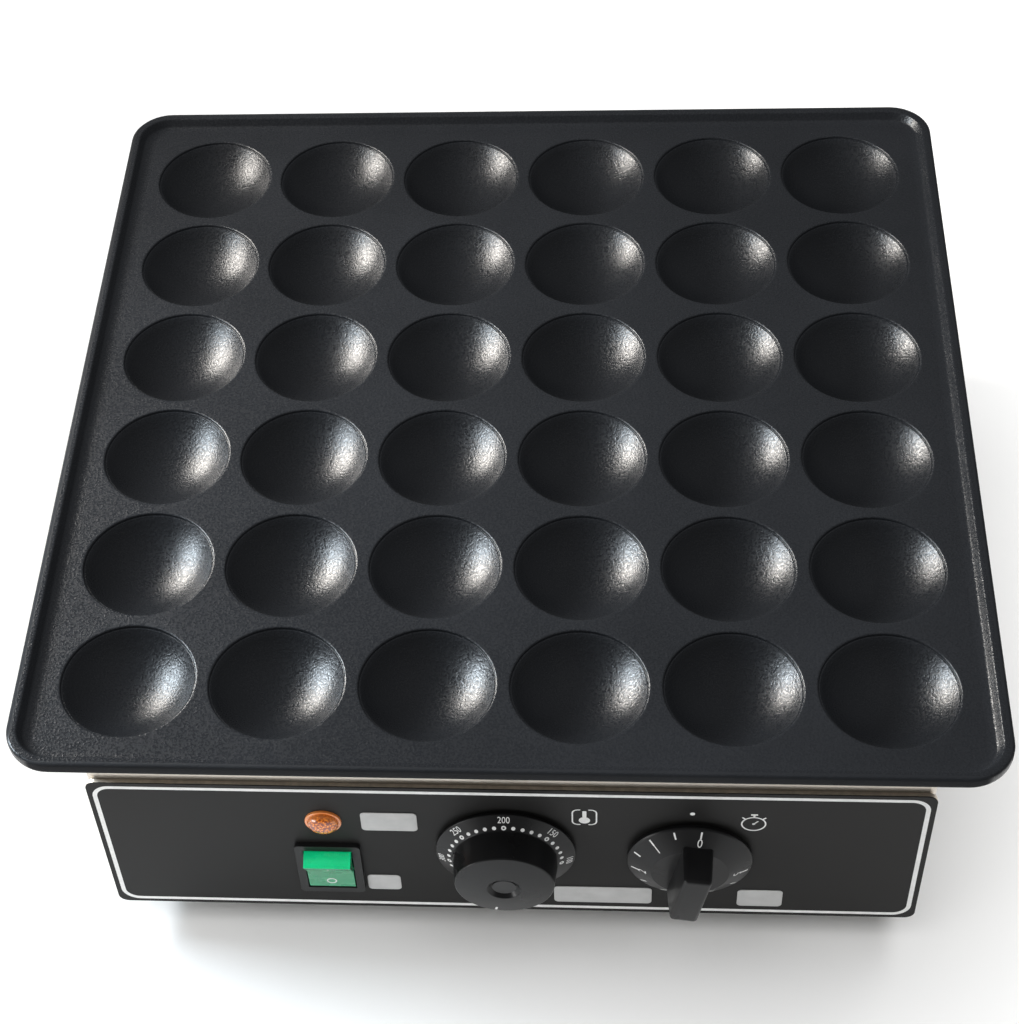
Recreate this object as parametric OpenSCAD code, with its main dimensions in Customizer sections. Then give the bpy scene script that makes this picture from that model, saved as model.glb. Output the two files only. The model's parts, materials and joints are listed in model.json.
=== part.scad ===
// Tabletop baking machine for small round pancakes: a cast plate with rows of dished wells stands on a
// sheet-steel case with a control panel in front. Millimetres. X right, Y to the back, Z up, floor at zero.

/* [Baking plate] */
// Distance between the centres of neighbouring wells
well_pitch = 55; // [53:0.5:60]
// Mouth diameter of a well
well_d = 50; // [46:0.5:51]
// Depth of a well below the baking surface
well_depth = 13; // [11:0.5:15]
// Metal left under the deepest point of a well
well_floor_t = 5; // [4:0.5:8]
// Flat plate outside the grid of well cells
plate_margin = 13; // [11:0.5:18]
// Corner radius of the plate
plate_corner_r = 17; // [15:0.5:22]
// Height of the rim above the baking surface
rim_h = 4; // [3:0.5:6]
// Width of the rim's flat top
rim_w = 3; // [2:0.5:4]
// Height of the slanted underside below the plate's edge
under_h = 17.5; // [12:0.5:19]

/* [Case] */
// Reach of the plate past the case on every side
overhang = 21; // [18:0.5:24]
// Height of the sheet-steel case
case_h = 104.8; // [104.8:0.2:130]
// Thickness of the case's sheet
sheet_t = 1.2; // [1:0.1:1.6]
// Height of a foot
foot_h = 18; // [14:0.5:30]
// Diameter of a foot at the floor
foot_d = 26; // [22:0.5:32]

/* [Control panel] */
// Height of the panel
panel_h = 85.5; // [80:0.5:86]
// Thickness of the panel
panel_t = 2; // [1.6:0.1:3]
// Bare steel between the case's top and the panel
panel_drop = 18; // [16:0.5:19]
// Place of the thermostat's axis right of the middle
thermostat_x = -0.5; // [-6:0.5:6]
// Place of the timer's axis right of the middle
timer_x = 69; // [64:0.5:90]
// Place of the switch and the lamp right of the middle
switch_x = -69; // [-110:0.5:-60]
// Height of the thermostat's axis above the panel's middle
thermostat_rise = 3; // [-3:0.5:4]
// Height of the timer's axis above the panel's middle
timer_rise = 0; // [-3:0.5:4]
// Height of the switch above the panel's middle
switch_rise = -12.5; // [-16:0.5:-11]
// Height of the lamp above the panel's middle
lamp_rise = 19.5; // [18:0.5:24]

/* [Knobs] */
// Diameter of the thermostat knob's skirt
skirt_d = 53; // [48:0.5:56]
// Diameter of the thermostat knob's grip at its front
grip_d = 37.5; // [34:0.5:40]
// Reach of the thermostat knob from the panel
grip_reach = 18.4; // [16:0.2:24]
// Diameter of the timer knob's disc
disc_d = 47; // [44:0.5:52]
// Reach of the timer knob from the panel
bar_reach = 20.5; // [18:0.5:26]
// Width of the timer knob's bar
bar_w = 10.5; // [9:0.5:13]
// Length of the bar's front face
bar_l = 28.5; // [24:0.5:30]
// Diameter of both knobs' shafts
shaft_d = 6; // [5:0.5:6.5]

/* [Switch and lamp] */
// Width of the switch's frame
bezel_w = 25.4; // [25:0.2:28]
// Height of the switch's frame
bezel_h = 33; // [32:0.5:36]
// Swing of the rocker between its two ends
rocker_swing = 30; // [24:1:32]
// Diameter of the lamp's lens
lens_d = 14; // [12.5:0.5:16]

/* [Inside] */
// Diameter of a heating tube
heater_d = 8; // [6.5:0.5:9]
// Diameter of the studs that carry the clamp bars and the shield
stud_d = 6; // [5:0.5:7]
// Diameter of the thermostat's sensing bulb
bulb_d = 6; // [5:0.5:7]
// Diameter of the tube between the bulb and the thermostat
capillary_d = 2; // [1.6:0.2:3]
// Thickness of the insulation
blanket_t = 8; // [6:0.5:9]
// Bore of the cable gland
gland_bore_d = 8.4; // [7:0.2:9.4]

/* [Fits] */
// Radial gap of a shaft or pin that turns
run_fit = 0.05; // [0.03:0.01:0.1]
// Gap between a moving piece and the piece round it
move_gap = 0.4; // [0.3:0.05:0.6]
// Radial gap of a thread in its hole
thread_fit = 0.05; // [0.02:0.01:0.1]
// Radial gap of a screw in a plain hole
hole_fit = 0.3; // [0.2:0.05:0.5]
// Gap between heating pieces and what they lie against
lay_gap = 0.2; // [0.1:0.05:0.3]

/* [Hidden] */
$fn = 48;
tiny = 0.01;
well_count = 6;

// Plate
plate_w = well_count * well_pitch + 2 * plate_margin;
plate_t = well_depth + well_floor_t;
lip_w = 0.6;
lip_h = 1.2;
lip_bevel = 0.5;
well_r = well_d / 2 - lip_w;
well_arc = well_depth - lip_h;
well_sphere_r = (well_r * well_r + well_arc * well_arc) / (2 * well_arc);
under_run = plate_corner_r - 3;
edge_bevel = 0.8;
wall_run = 2;
wall_foot_run = 1.6;
wall_foot_h = 1;
core_w = plate_w - 2 * plate_corner_r;

// Heights
z_case = foot_h + sheet_t;
z_seat = z_case + case_h;
z_cook = z_seat + plate_t;
panel_z = z_seat - panel_drop - panel_h / 2;

// Case
case_w = plate_w - 2 * overhang;
case_r = 4;
case_in = case_w - 2 * sheet_t;
flange_w = 12;
base_inset = 2;
base_w = case_w - 2 * base_inset;
front_y = -(case_w / 2 + panel_t);
wall_depth = panel_t + sheet_t;
foot_place = case_w / 2 - 34;
foot_top_d = foot_d + 4;
foot_recess_d = 12;
foot_recess_h = 8;
foot_screw_d = 5;
foot_nut_h = 4;
base_screw_d = 4;
base_screw_head_h = 1.8;

// Panel fixings
panel_r = 4;
panel_stud_d = 4;
panel_stud_x = case_w / 2 - 10;
panel_stud_edge = 12;
panel_stud_foot = 13.3;
panel_stud_high = panel_h / 2 - panel_stud_edge;
panel_stud_low = z_case + panel_stud_foot - panel_z;
panel_nut_h = 3;

// Thermostat and timer
thermostat_at = [thermostat_x, thermostat_rise];
timer_at = [timer_x, timer_rise];
bush_d = 10;
mount_pitch = 28;
mount_screw_d = 4;
mount_head_d = 7;
mount_head_h = panel_t - 0.4;
thermostat_body = [44, 40, 26];
timer_body = [42, 42, 24];
bell_d = 34;
bell_h = 9;
skirt_gap = 1.2;
skirt_edge_h = 1;
skirt_rise = 7.2;
grip_base_d = grip_d + 2.6;
grip_edge = 1;
grip_dome = 1.8;
recess_d = 13;
recess_floor_d = 10;
recess_h = 1.6;
cap_d = 9;
cap_h = 0.6;
knob_wall = 2.2;
hub_d = 12;
disc_t = 1.8;
disc_edge = 0.6;
boss_d = 29.2;
boss_h = 4.8;
bar_base_l = bar_l + 5;
bar_base_w = bar_w + 1.4;
shaft_flat = 1;
shaft_in = 14;
knob_clip = [2, 0.6, 7];

// Switch
rocker_w = 18.2;
rocker_half = 12;
rocker_rise = 5;
rocker_dish = 11;
rocker_r = sqrt(rocker_half * rocker_half + rocker_rise * rocker_rise);
rocker_back = 6;
rocker_pin_d = 3;
rocker_pin_out = 1.2;
bezel_t = 2;
bezel_r = 2;
cavity_w = rocker_w + 2 * move_gap;
cavity_r = rocker_r + move_gap;
switch_wall = 1.6;
switch_box = [cavity_w + 2 * switch_wall, 2 * cavity_r + 2 * switch_wall, 24];
switch_hole_gap = 0.3;
blade = [0.8, 6.3, 9];

// Lamp
lens_flange_t = 1;
lens_dome_h = 3.6;
lamp_neck_d = 10;
lamp_body_d = 13;
lamp_body_l = 20;
lamp_clip_d = 18;
lamp_clip_t = 1.6;

// Heating
row_y = [for (i = [0 : well_count - 1]) (i - (well_count - 1) / 2) * well_pitch];
heater_z = z_seat - lay_gap - heater_d / 2;
heater_bend_x = 1.9 * well_pitch;
leg_bend_r = 12;
leg_x = -(2.36 * well_pitch);
bar_z_top = heater_z - heater_d / 2 - lay_gap;
clamp_bar = [20, 2 * 2.75 * well_pitch - 16, 4];
stud_x = well_pitch;
stud_y = 2 * well_pitch;
stud_in = 8;
nut_h = 5;
nut_d = 11.6;
shield_t = 1;
shield_w = case_w - 16;
shield_lip_h = 8;
z_shield = bar_z_top - clamp_bar[2] - nut_h - 9.8;
leg_end_z = z_shield - 6;
leg_hole_d = heater_d + 6;
bead_d = 12;
bead_h = 6;
pin_d = 4;
pin_out = 8;
fix_place = case_w / 2 - 7.5;
fix_stud_d = 5;
fix_in = 6.5;
fix_nut_d = 9.2;
fix_nut_h = 4;

// Thermostat bulb and its tube
bulb_l = 76;
bulb_z = z_seat - lay_gap - bulb_d / 2;
clip_t = 1;
clip_w = 10;
clip_screw_y = bulb_d / 2 + 9;
clip_screw_d = 4;
tube_hole = [41, -16];
tube_hole_d = 8;

// Mains side
gland_x = -95;
gland_z = z_case + 28;
gland_neck_d = 16;
gland_hex_d = 25;
gland_hex_h = 7;
gland_cap_h = 9;
gland_nut_h = 5;
block = [52, 24, 20];
block_x = -50;
block_inset = 42;
block_at = [block_x, case_w / 2 - block_inset];
earth_inset = 40;
earth_at = [0, case_w / 2 - earth_inset];

// Vent slots in the rear wall
vent = [18, 4];
vent_x = 80;
vent_z = z_case + 30;
vent_side_step = 26;
vent_up_step = 9;

// The origin is under the middle of the whole machine's box
front_reach = case_w / 2 + panel_t + max(grip_reach, bar_reach);
shift_y = (front_reach - plate_w / 2) / 2;

// Shared helpers

// Moves a piece from the plate's own middle to the shared origin
module placed() {
    translate([0, shift_y, 0])
        children();
}

// Frame on the panel's front face: x right, y up, z out of the panel
module on_panel(x, rise) {
    translate([x, front_y, panel_z + rise])
        rotate([90, 0, 0])
            children();
}

// Frame on the rear wall's outer face: z out of the wall
module on_rear(x, z) {
    translate([x, case_w / 2, z])
        rotate([-90, 0, 0])
            children();
}

// Flat rectangle with round corners
module round_rect(w, h, r) {
    union() {
        square([w - 2 * r, h], center = true);
        square([w, h - 2 * r], center = true);
        for (sx = [-1, 1])
            for (sy = [-1, 1])
                translate([sx * (w / 2 - r), sy * (h / 2 - r)])
                    circle(r = r);
    }
}

// Flat slot with round ends
module slot(l, w) {
    union() {
        square([l - w, w], center = true);
        for (s = [-1, 1])
            translate([s * (l - w) / 2, 0])
                circle(d = w);
    }
}

// Box standing on its middle
module block_at_middle(size) {
    translate([-size[0] / 2, -size[1] / 2, 0])
        cube(size);
}

// Hexagonal nut with its thread bore
module hex_nut(across, h, bore) {
    difference() {
        cylinder(d = across, h = h, $fn = 6);
        translate([0, 0, -1])
            cylinder(d = bore, h = h + 2);
    }
}

// Copies at the corners of a rectangle
module at_corners(x, y) {
    for (sx = [-1, 1])
        for (sy = [-1, 1])
            translate([sx * x, sy * y, 0])
                children();
}

// The stud places between the heating tubes
module at_studs() {
    for (sx = [-1, 1])
        for (y = [-stud_y, 0, stud_y])
            translate([sx * stud_x, y, 0])
                children();
}

// The places where the tubes' cold ends go down
module at_legs() {
    for (y = row_y)
        translate([leg_x, y, 0])
            children();
}

// Baking plate

// Half section of the plate's edge, from the corner's centre outwards
module edge_profile() {
    r = plate_corner_r;
    top = plate_t + rim_h;
    polygon([
        [0, 0],
        [r - under_run, 0],
        [r, under_h],
        [r, top - edge_bevel],
        [r - edge_bevel, top],
        [r - rim_w, top],
        [r - rim_w - wall_run, plate_t + wall_foot_h],
        [r - rim_w - wall_run - wall_foot_run, plate_t],
        [0, plate_t]
    ]);
}

// One side of the edge, laid along X at the plate's front
module edge_side() {
    translate([core_w / 2, -core_w / 2, 0])
        rotate([90, 0, -90])
            linear_extrude(core_w)
                edge_profile();
}

// Dished hole of one well, with its stepped mouth
module well_hole() {
    translate([0, 0, plate_t - well_depth + well_sphere_r])
        sphere(r = well_sphere_r, $fn = 64);
    translate([0, 0, plate_t - lip_h])
        cylinder(d = well_d, h = lip_h + 1, $fn = 64);
    translate([0, 0, plate_t - lip_bevel])
        cylinder(d1 = well_d, d2 = well_d + 4 * lip_bevel, h = 2 * lip_bevel, $fn = 64);
}

module baking_plate() {
    color([0.17, 0.175, 0.18])
        placed()
            translate([0, 0, z_seat])
                difference() {
                    union() {
                        translate([-core_w / 2, -core_w / 2, 0])
                            cube([core_w, core_w, plate_t]);
                        for (i = [0 : 3])
                            rotate([0, 0, 90 * i]) {
                                edge_side();
                                translate([core_w / 2, core_w / 2, 0])
                                    rotate_extrude(angle = 90, $fn = 64)
                                        edge_profile();
                            }
                    }
                    for (x = row_y)
                        for (y = row_y)
                            translate([x, y, 0])
                                well_hole();
                    translate([0, 0, -1])
                        at_studs()
                            cylinder(d = stud_d + 2 * thread_fit, h = stud_in + 1);
                    translate([0, 0, -1])
                        at_corners(fix_place, fix_place)
                            cylinder(d = fix_stud_d + 2 * thread_fit, h = fix_in + 1);
                    for (s = [-1, 1])
                        translate([0, s * clip_screw_y, -1])
                            cylinder(d = clip_screw_d + 2 * thread_fit, h = stud_in + 1);
                }
}

// Case

// Everything that passes through the panel and the front wall behind it
module front_passages(screw_hole_d) {
    on_panel(switch_x, lamp_rise)
        translate([0, 0, -wall_depth - 1])
            cylinder(d = lamp_neck_d + 2 * hole_fit, h = wall_depth + 2);
    on_panel(switch_x, switch_rise)
        translate([0, 0, -wall_depth - 1])
            block_at_middle([switch_box[0] + 2 * switch_hole_gap, switch_box[1] + 2 * switch_hole_gap,
                wall_depth + 2]);
    for (at = [thermostat_at, timer_at])
        on_panel(at[0], at[1])
            translate([0, 0, -wall_depth - 1]) {
                cylinder(d = bush_d + 2 * hole_fit, h = wall_depth + 2);
                for (s = [-1, 1])
                    translate([s * mount_pitch / 2, 0, 0])
                        cylinder(d = screw_hole_d, h = wall_depth + 2);
            }
}

module panel_stud_places() {
    for (x = [-panel_stud_x, panel_stud_x])
        for (rise = [panel_stud_low, panel_stud_high])
            on_panel(x, rise)
                children();
}

module casing() {
    color([0.72, 0.71, 0.69])
        placed()
            difference() {
                union() {
                    translate([0, 0, z_case])
                        linear_extrude(case_h)
                            difference() {
                                round_rect(case_w, case_w, case_r);
                                round_rect(case_in, case_in, case_r - sheet_t);
                            }
                    for (z = [z_case, z_seat - sheet_t])
                        translate([0, 0, z])
                            linear_extrude(sheet_t)
                                difference() {
                                    square(case_w - sheet_t, center = true);
                                    square(case_w - 2 * flange_w, center = true);
                                }
                }
                front_passages(mount_screw_d + 2 * hole_fit);
                panel_stud_places()
                    translate([0, 0, -wall_depth - 1])
                        cylinder(d = panel_stud_d + 2 * hole_fit, h = wall_depth + 1);
                on_rear(gland_x, gland_z)
                    translate([0, 0, -sheet_t - 1])
                        cylinder(d = gland_neck_d + 2 * hole_fit, h = sheet_t + 2);
                for (x = [-1, 0, 1])
                    for (i = [0 : 4])
                        on_rear(vent_x + vent_side_step * x, vent_z + vent_up_step * i)
                            translate([0, 0, -sheet_t - 1])
                                linear_extrude(sheet_t + 2)
                                    slot(vent[0], vent[1]);
                translate([0, 0, z_seat - sheet_t - 1])
                    at_corners(fix_place, fix_place)
                        cylinder(d = fix_stud_d + 2 * hole_fit, h = sheet_t + 2);
                translate([0, 0, z_case - 1])
                    at_base_screws()
                        cylinder(d = base_screw_d + 2 * thread_fit, h = sheet_t + 2);
            }
}

module at_base_screws() {
    reach = case_w / 2 - 7;
    for (i = [0 : 3])
        rotate([0, 0, 90 * i])
            for (x = [-0.62, 0.62])
                translate([x * reach, -reach, 0])
                    children();
}

module base_plate() {
    color([0.66, 0.66, 0.65])
        placed()
            translate([0, 0, foot_h])
                difference() {
                    linear_extrude(sheet_t)
                        round_rect(base_w, base_w, case_r);
                    for (x = [-1, 1])
                        for (i = [-3 : 3])
                            translate([x * 48, 14 * i, -1])
                                linear_extrude(sheet_t + 2)
                                    slot(60, 5);
                    translate([0, 0, -1])
                        at_base_screws()
                            cylinder(d = base_screw_d + 2 * hole_fit, h = sheet_t + 2);
                    translate([0, 0, -1])
                        at_corners(foot_place, foot_place)
                            cylinder(d = foot_screw_d + 2 * hole_fit, h = sheet_t + 2);
                    translate([earth_at[0], earth_at[1], -1])
                        cylinder(d = base_screw_d + 2 * hole_fit, h = sheet_t + 2);
                }
}

module base_screws() {
    color([0.75, 0.75, 0.76])
        placed()
            at_base_screws()
                translate([0, 0, foot_h - base_screw_head_h]) {
                    cylinder(d = 2 * base_screw_d, h = base_screw_head_h);
                    cylinder(d = base_screw_d, h = base_screw_head_h + 2 * sheet_t + 4);
                }
}

module foot(sx, sy) {
    color([0.08, 0.08, 0.085])
        placed()
            translate([sx * foot_place, sy * foot_place, 0])
                difference() {
                    cylinder(d1 = foot_d, d2 = foot_top_d, h = foot_h);
                    translate([0, 0, -1])
                        cylinder(d = foot_recess_d, h = foot_recess_h + 1);
                    translate([0, 0, -1])
                        cylinder(d = foot_screw_d + 2 * hole_fit, h = foot_h + 2);
                }
}

module foot_screws() {
    color([0.75, 0.75, 0.76])
        placed()
            at_corners(foot_place, foot_place)
                translate([0, 0, foot_recess_h - 3]) {
                    cylinder(d = foot_recess_d - 2, h = 3);
                    cylinder(d = foot_screw_d, h = foot_h - foot_recess_h + 3 + sheet_t + foot_nut_h + 2);
                }
}

module foot_nuts() {
    color([0.75, 0.75, 0.76])
        placed()
            at_corners(foot_place, foot_place)
                translate([0, 0, z_case])
                    hex_nut(fix_nut_d, foot_nut_h, foot_screw_d + 2 * thread_fit);
}

// Control panel

module control_panel() {
    color([0.15, 0.15, 0.15])
        placed()
            union() {
                difference() {
                    on_panel(0, 0)
                        translate([0, 0, -panel_t])
                            linear_extrude(panel_t)
                                round_rect(case_w, panel_h, panel_r);
                    front_passages(mount_head_d + 2 * hole_fit);
                }
                panel_stud_places()
                    translate([0, 0, -wall_depth - panel_nut_h - 2])
                        cylinder(d = panel_stud_d, h = wall_depth + panel_nut_h + 1);
            }
}

module panel_nuts() {
    color([0.75, 0.75, 0.76])
        placed()
            panel_stud_places()
                translate([0, 0, -wall_depth - panel_nut_h])
                    hex_nut(8, panel_nut_h, panel_stud_d + 2 * thread_fit);
}

// Lamp

module lamp_lens() {
    color([0.85, 0.38, 0.1])
        placed()
            on_panel(switch_x, lamp_rise)
                union() {
                    cylinder(d = lens_d, h = lens_flange_t);
                    cylinder(d1 = lens_d - 0.6, d2 = lens_d - 3.4, h = lens_dome_h);
                    cylinder(d = lens_d - 4.6, h = lens_dome_h + 0.6);
                    translate([0, 0, -wall_depth - 3])
                        cylinder(d = lamp_neck_d, h = wall_depth + 3 + tiny);
                }
}

module lamp_clip() {
    color([0.75, 0.75, 0.76])
        placed()
            on_panel(switch_x, lamp_rise)
                translate([0, 0, -wall_depth - lamp_clip_t])
                    difference() {
                        cylinder(d = lamp_clip_d, h = lamp_clip_t);
                        translate([0, 0, -1])
                            cylinder(d = lamp_neck_d + 2 * thread_fit, h = lamp_clip_t + 2);
                    }
}

module lamp_body() {
    color([0.12, 0.12, 0.12])
        placed()
            on_panel(switch_x, lamp_rise)
                translate([0, 0, -wall_depth - 3 - lamp_body_l])
                    union() {
                        cylinder(d = lamp_body_d, h = lamp_body_l);
                        for (s = [-1, 1])
                            translate([s * 3.4, 0, -7])
                                block_at_middle([blade[0], 4.8, 7 + tiny]);
                    }
}

// Switch

// Rocker seen from its side: x up along the panel, y out of it, the pivot at zero
module rocker_section() {
    dish = rocker_half * tan(rocker_dish);
    reach = rocker_half + 4;
    intersection() {
        circle(r = rocker_r, $fn = 64);
        polygon([
            [-reach, rocker_rise + 4 * tan(rocker_dish)],
            [0, rocker_rise - dish],
            [reach, rocker_rise + 4 * tan(rocker_dish)],
            [reach, -rocker_back],
            [-reach, -rocker_back]
        ]);
    }
}

// Frame on the rocker's pivot: x along the pin, y up, z out of the panel
module on_pivot() {
    on_panel(switch_x, switch_rise)
        children();
}

module switch_housing() {
    color([0.07, 0.07, 0.07])
        placed()
            on_pivot()
                difference() {
                    union() {
                        linear_extrude(bezel_t)
                            round_rect(bezel_w, bezel_h, bezel_r);
                        translate([0, 0, -switch_box[2]])
                            block_at_middle([switch_box[0], switch_box[1], switch_box[2] + tiny]);
                    }
                    rotate([0, 90, 0])
                        translate([0, 0, -cavity_w / 2])
                            cylinder(r = cavity_r, h = cavity_w, $fn = 64);
                    block_at_middle([cavity_w, 2 * cavity_r, bezel_t + 1]);
                    rotate([0, 90, 0])
                        translate([0, 0, -cavity_w / 2 - rocker_pin_out - 0.2])
                            cylinder(d = rocker_pin_d + 2 * run_fit, h = cavity_w + 2 * rocker_pin_out + 0.4);
                }
}

module switch_rocker() {
    color([0.12, 0.68, 0.42])
        placed()
            on_pivot()
                rotate([rocker_swing / 2, 0, 0])
                    union() {
                        translate([-rocker_w / 2, 0, 0])
                            rotate([90, 0, 90])
                                linear_extrude(rocker_w)
                                    rocker_section();
                        rotate([0, 90, 0])
                            translate([0, 0, -cavity_w / 2 - rocker_pin_out])
                                cylinder(d = rocker_pin_d, h = cavity_w + 2 * rocker_pin_out);
                    }
}

module switch_terminals() {
    color([0.8, 0.68, 0.4])
        placed()
            on_pivot()
                for (sx = [-1, 1])
                    for (y = [-7, 7])
                        translate([sx * 5.5, y, -switch_box[2] - blade[2]])
                            block_at_middle(blade);
}

// Thermostat and timer

module mount_screws(at) {
    on_panel(at[0], at[1])
        for (s = [-1, 1])
            translate([s * mount_pitch / 2, 0, -panel_t]) {
                cylinder(d = mount_head_d, h = mount_head_h);
                translate([0, 0, -sheet_t - 6])
                    cylinder(d = mount_screw_d, h = sheet_t + 6 + tiny);
            }
}

// Body of a control behind the front wall, with its bush and its screw holes
module control_body(at, size) {
    on_panel(at[0], at[1])
        difference() {
            union() {
                translate([0, 0, -wall_depth - size[2]])
                    block_at_middle(size);
                translate([0, 0, -wall_depth - tiny])
                    cylinder(d = bush_d, h = wall_depth + tiny);
            }
            translate([0, 0, -wall_depth - shaft_in - 0.5])
                cylinder(d = shaft_d + 2 * run_fit, h = wall_depth + shaft_in + 1);
            for (s = [-1, 1])
                translate([s * mount_pitch / 2, 0, -wall_depth - 7])
                    cylinder(d = mount_screw_d + 2 * thread_fit, h = 8);
        }
}

// Shaft with a flat where the knob sits
module control_shaft(at, reach) {
    on_panel(at[0], at[1])
        difference() {
            translate([0, 0, -wall_depth - shaft_in])
                cylinder(d = shaft_d, h = wall_depth + shaft_in + reach);
            translate([-shaft_d, shaft_d / 2 - shaft_flat, skirt_gap + 1])
                cube([2 * shaft_d, shaft_d, reach]);
        }
}

// Leaf spring between the shaft's flat and the knob's bore
module shaft_clip(at, reach) {
    on_panel(at[0], at[1])
        translate([-knob_clip[0] / 2, shaft_d / 2 - shaft_flat, reach - knob_clip[2]])
            cube(knob_clip);
}

thermostat_shaft_reach = grip_reach - recess_h - 3.4;
timer_shaft_reach = bar_reach - 7;

module thermostat_body_node() {
    color([0.78, 0.76, 0.7])
        placed()
            control_body(thermostat_at, thermostat_body);
}

module thermostat_screws() {
    color([0.75, 0.75, 0.76])
        placed()
            mount_screws(thermostat_at);
}

module thermostat_shaft() {
    color([0.6, 0.6, 0.6])
        placed()
            control_shaft(thermostat_at, thermostat_shaft_reach);
}

// Half section of the thermostat knob, hollow from behind with a hub round the shaft
module grip_profile() {
    skirt_r = skirt_d / 2;
    skirt_top = skirt_gap + skirt_rise;
    face_edge = grip_reach - grip_dome;
    hollow_r = grip_d / 2 - knob_wall;
    hollow_top = grip_reach - recess_h - 2;
    polygon([
        [0, grip_reach - recess_h],
        [recess_floor_d / 2, grip_reach - recess_h],
        [recess_d / 2, grip_reach],
        [grip_d / 2 - grip_edge, face_edge],
        [grip_d / 2 - 0.3 * grip_edge, face_edge - 0.3 * grip_edge],
        [grip_d / 2, face_edge - grip_edge],
        [grip_base_d / 2, skirt_top],
        [skirt_r, skirt_gap + skirt_edge_h],
        [skirt_r, skirt_gap],
        [hollow_r, skirt_gap],
        [hollow_r, hollow_top],
        [hub_d / 2, hollow_top],
        [hub_d / 2, skirt_gap],
        [0, skirt_gap]
    ]);
}

module thermostat_knob() {
    color([0.11, 0.11, 0.11])
        placed()
            on_panel(thermostat_x, thermostat_rise)
                difference() {
                    rotate_extrude($fn = 96)
                        grip_profile();
                    translate([0, 0, skirt_gap - 1])
                        cylinder(d = shaft_d + 2 * thread_fit, h = thermostat_shaft_reach - skirt_gap + 1);
                }
}

module thermostat_knob_cap() {
    color([0.2, 0.2, 0.2])
        placed()
            on_panel(thermostat_x, thermostat_rise)
                translate([0, 0, grip_reach - recess_h])
                    cylinder(d = cap_d, h = cap_h);
}

module thermostat_knob_clip() {
    color([0.6, 0.6, 0.6])
        placed()
            shaft_clip(thermostat_at, thermostat_shaft_reach);
}

module timer_body_node() {
    color([0.16, 0.16, 0.17])
        placed()
            control_body(timer_at, timer_body);
}

module timer_bell() {
    back = wall_depth + timer_body[2];
    color([0.7, 0.66, 0.55])
        placed()
            on_panel(timer_x, timer_rise)
                translate([0, 0, -back - bell_h - 2])
                    union() {
                        difference() {
                            cylinder(d1 = bell_d - 8, d2 = bell_d, h = bell_h);
                            translate([0, 0, 1.2])
                                cylinder(d1 = bell_d - 10.4, d2 = bell_d - 2.4, h = bell_h);
                        }
                        cylinder(d = 5, h = bell_h + 2);
                    }
}

module timer_screws() {
    color([0.75, 0.75, 0.76])
        placed()
            mount_screws(timer_at);
}

module timer_shaft() {
    color([0.6, 0.6, 0.6])
        placed()
            control_shaft(timer_at, timer_shaft_reach);
}

// Half section of the timer knob: a thin edge, a cone and a flat boss
module disc_profile() {
    disc_top = skirt_gap + disc_t;
    polygon([
        [0, skirt_gap],
        [disc_d / 2, skirt_gap],
        [disc_d / 2, disc_top - disc_edge],
        [disc_d / 2 - disc_edge, disc_top],
        [boss_d / 2, disc_top + boss_h],
        [0, disc_top + boss_h]
    ]);
}

// Bar of the timer knob: two tapered prisms crossed
module timer_bar() {
    low = skirt_gap + disc_t;
    intersection() {
        translate([-bar_base_w, 0, 0])
            rotate([90, 0, 90])
                linear_extrude(2 * bar_base_w)
                    polygon([
                        [-bar_base_l / 2, low],
                        [bar_base_l / 2, low],
                        [bar_l / 2, bar_reach],
                        [-bar_l / 2, bar_reach]
                    ]);
        translate([0, bar_base_l, 0])
            rotate([90, 0, 0])
                linear_extrude(2 * bar_base_l)
                    polygon([
                        [-bar_base_w / 2, low],
                        [bar_base_w / 2, low],
                        [bar_w / 2, bar_reach],
                        [-bar_w / 2, bar_reach]
                    ]);
    }
}

// The knob stands a little clockwise of its zero
timer_rest = 10;

module timer_knob() {
    color([0.12, 0.12, 0.12])
        placed()
            on_panel(timer_x, timer_rise)
                difference() {
                    union() {
                        rotate_extrude($fn = 96)
                            disc_profile();
                        rotate([0, 0, -timer_rest])
                            timer_bar();
                    }
                    translate([0, 0, skirt_gap - 1])
                        cylinder(d = shaft_d + 2 * thread_fit, h = timer_shaft_reach - skirt_gap + 1);
                }
}

module timer_knob_clip() {
    color([0.6, 0.6, 0.6])
        placed()
            shaft_clip(timer_at, timer_shaft_reach);
}

// Heating

// Hairpin under two rows of wells: two legs, a bend at the right, cold ends going down at the left
module hairpin(y0, y1) {
    color([0.42, 0.4, 0.38])
        placed()
            translate([0, 0, heater_z])
                union() {
                    translate([heater_bend_x, (y0 + y1) / 2, 0])
                        rotate([0, 0, -90])
                            rotate_extrude(angle = 180)
                                translate([(y1 - y0) / 2, 0])
                                    circle(d = heater_d);
                    for (y = [y0, y1])
                        translate([leg_x + leg_bend_r, y, 0]) {
                            rotate([0, 90, 0])
                                cylinder(d = heater_d, h = heater_bend_x - leg_x - leg_bend_r);
                            translate([0, 0, -leg_bend_r])
                                rotate([90, 0, 0])
                                    rotate([0, 0, 90])
                                        rotate_extrude(angle = 90)
                                            translate([leg_bend_r, 0])
                                                circle(d = heater_d);
                            translate([-leg_bend_r, 0, leg_end_z - heater_z])
                                cylinder(d = heater_d, h = heater_z - leg_end_z - leg_bend_r);
                        }
                }
}

module heater_insulators() {
    color([0.9, 0.88, 0.82])
        placed()
            at_legs()
                translate([0, 0, leg_end_z - bead_h])
                    difference() {
                        cylinder(d = bead_d, h = bead_h);
                        translate([0, 0, -1])
                            cylinder(d = pin_d + 2 * thread_fit, h = bead_h + 2);
                    }
}

module heater_terminals() {
    color([0.7, 0.7, 0.7])
        placed()
            at_legs()
                translate([0, 0, leg_end_z - bead_h - pin_out])
                    cylinder(d = pin_d, h = bead_h + pin_out);
}

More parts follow.
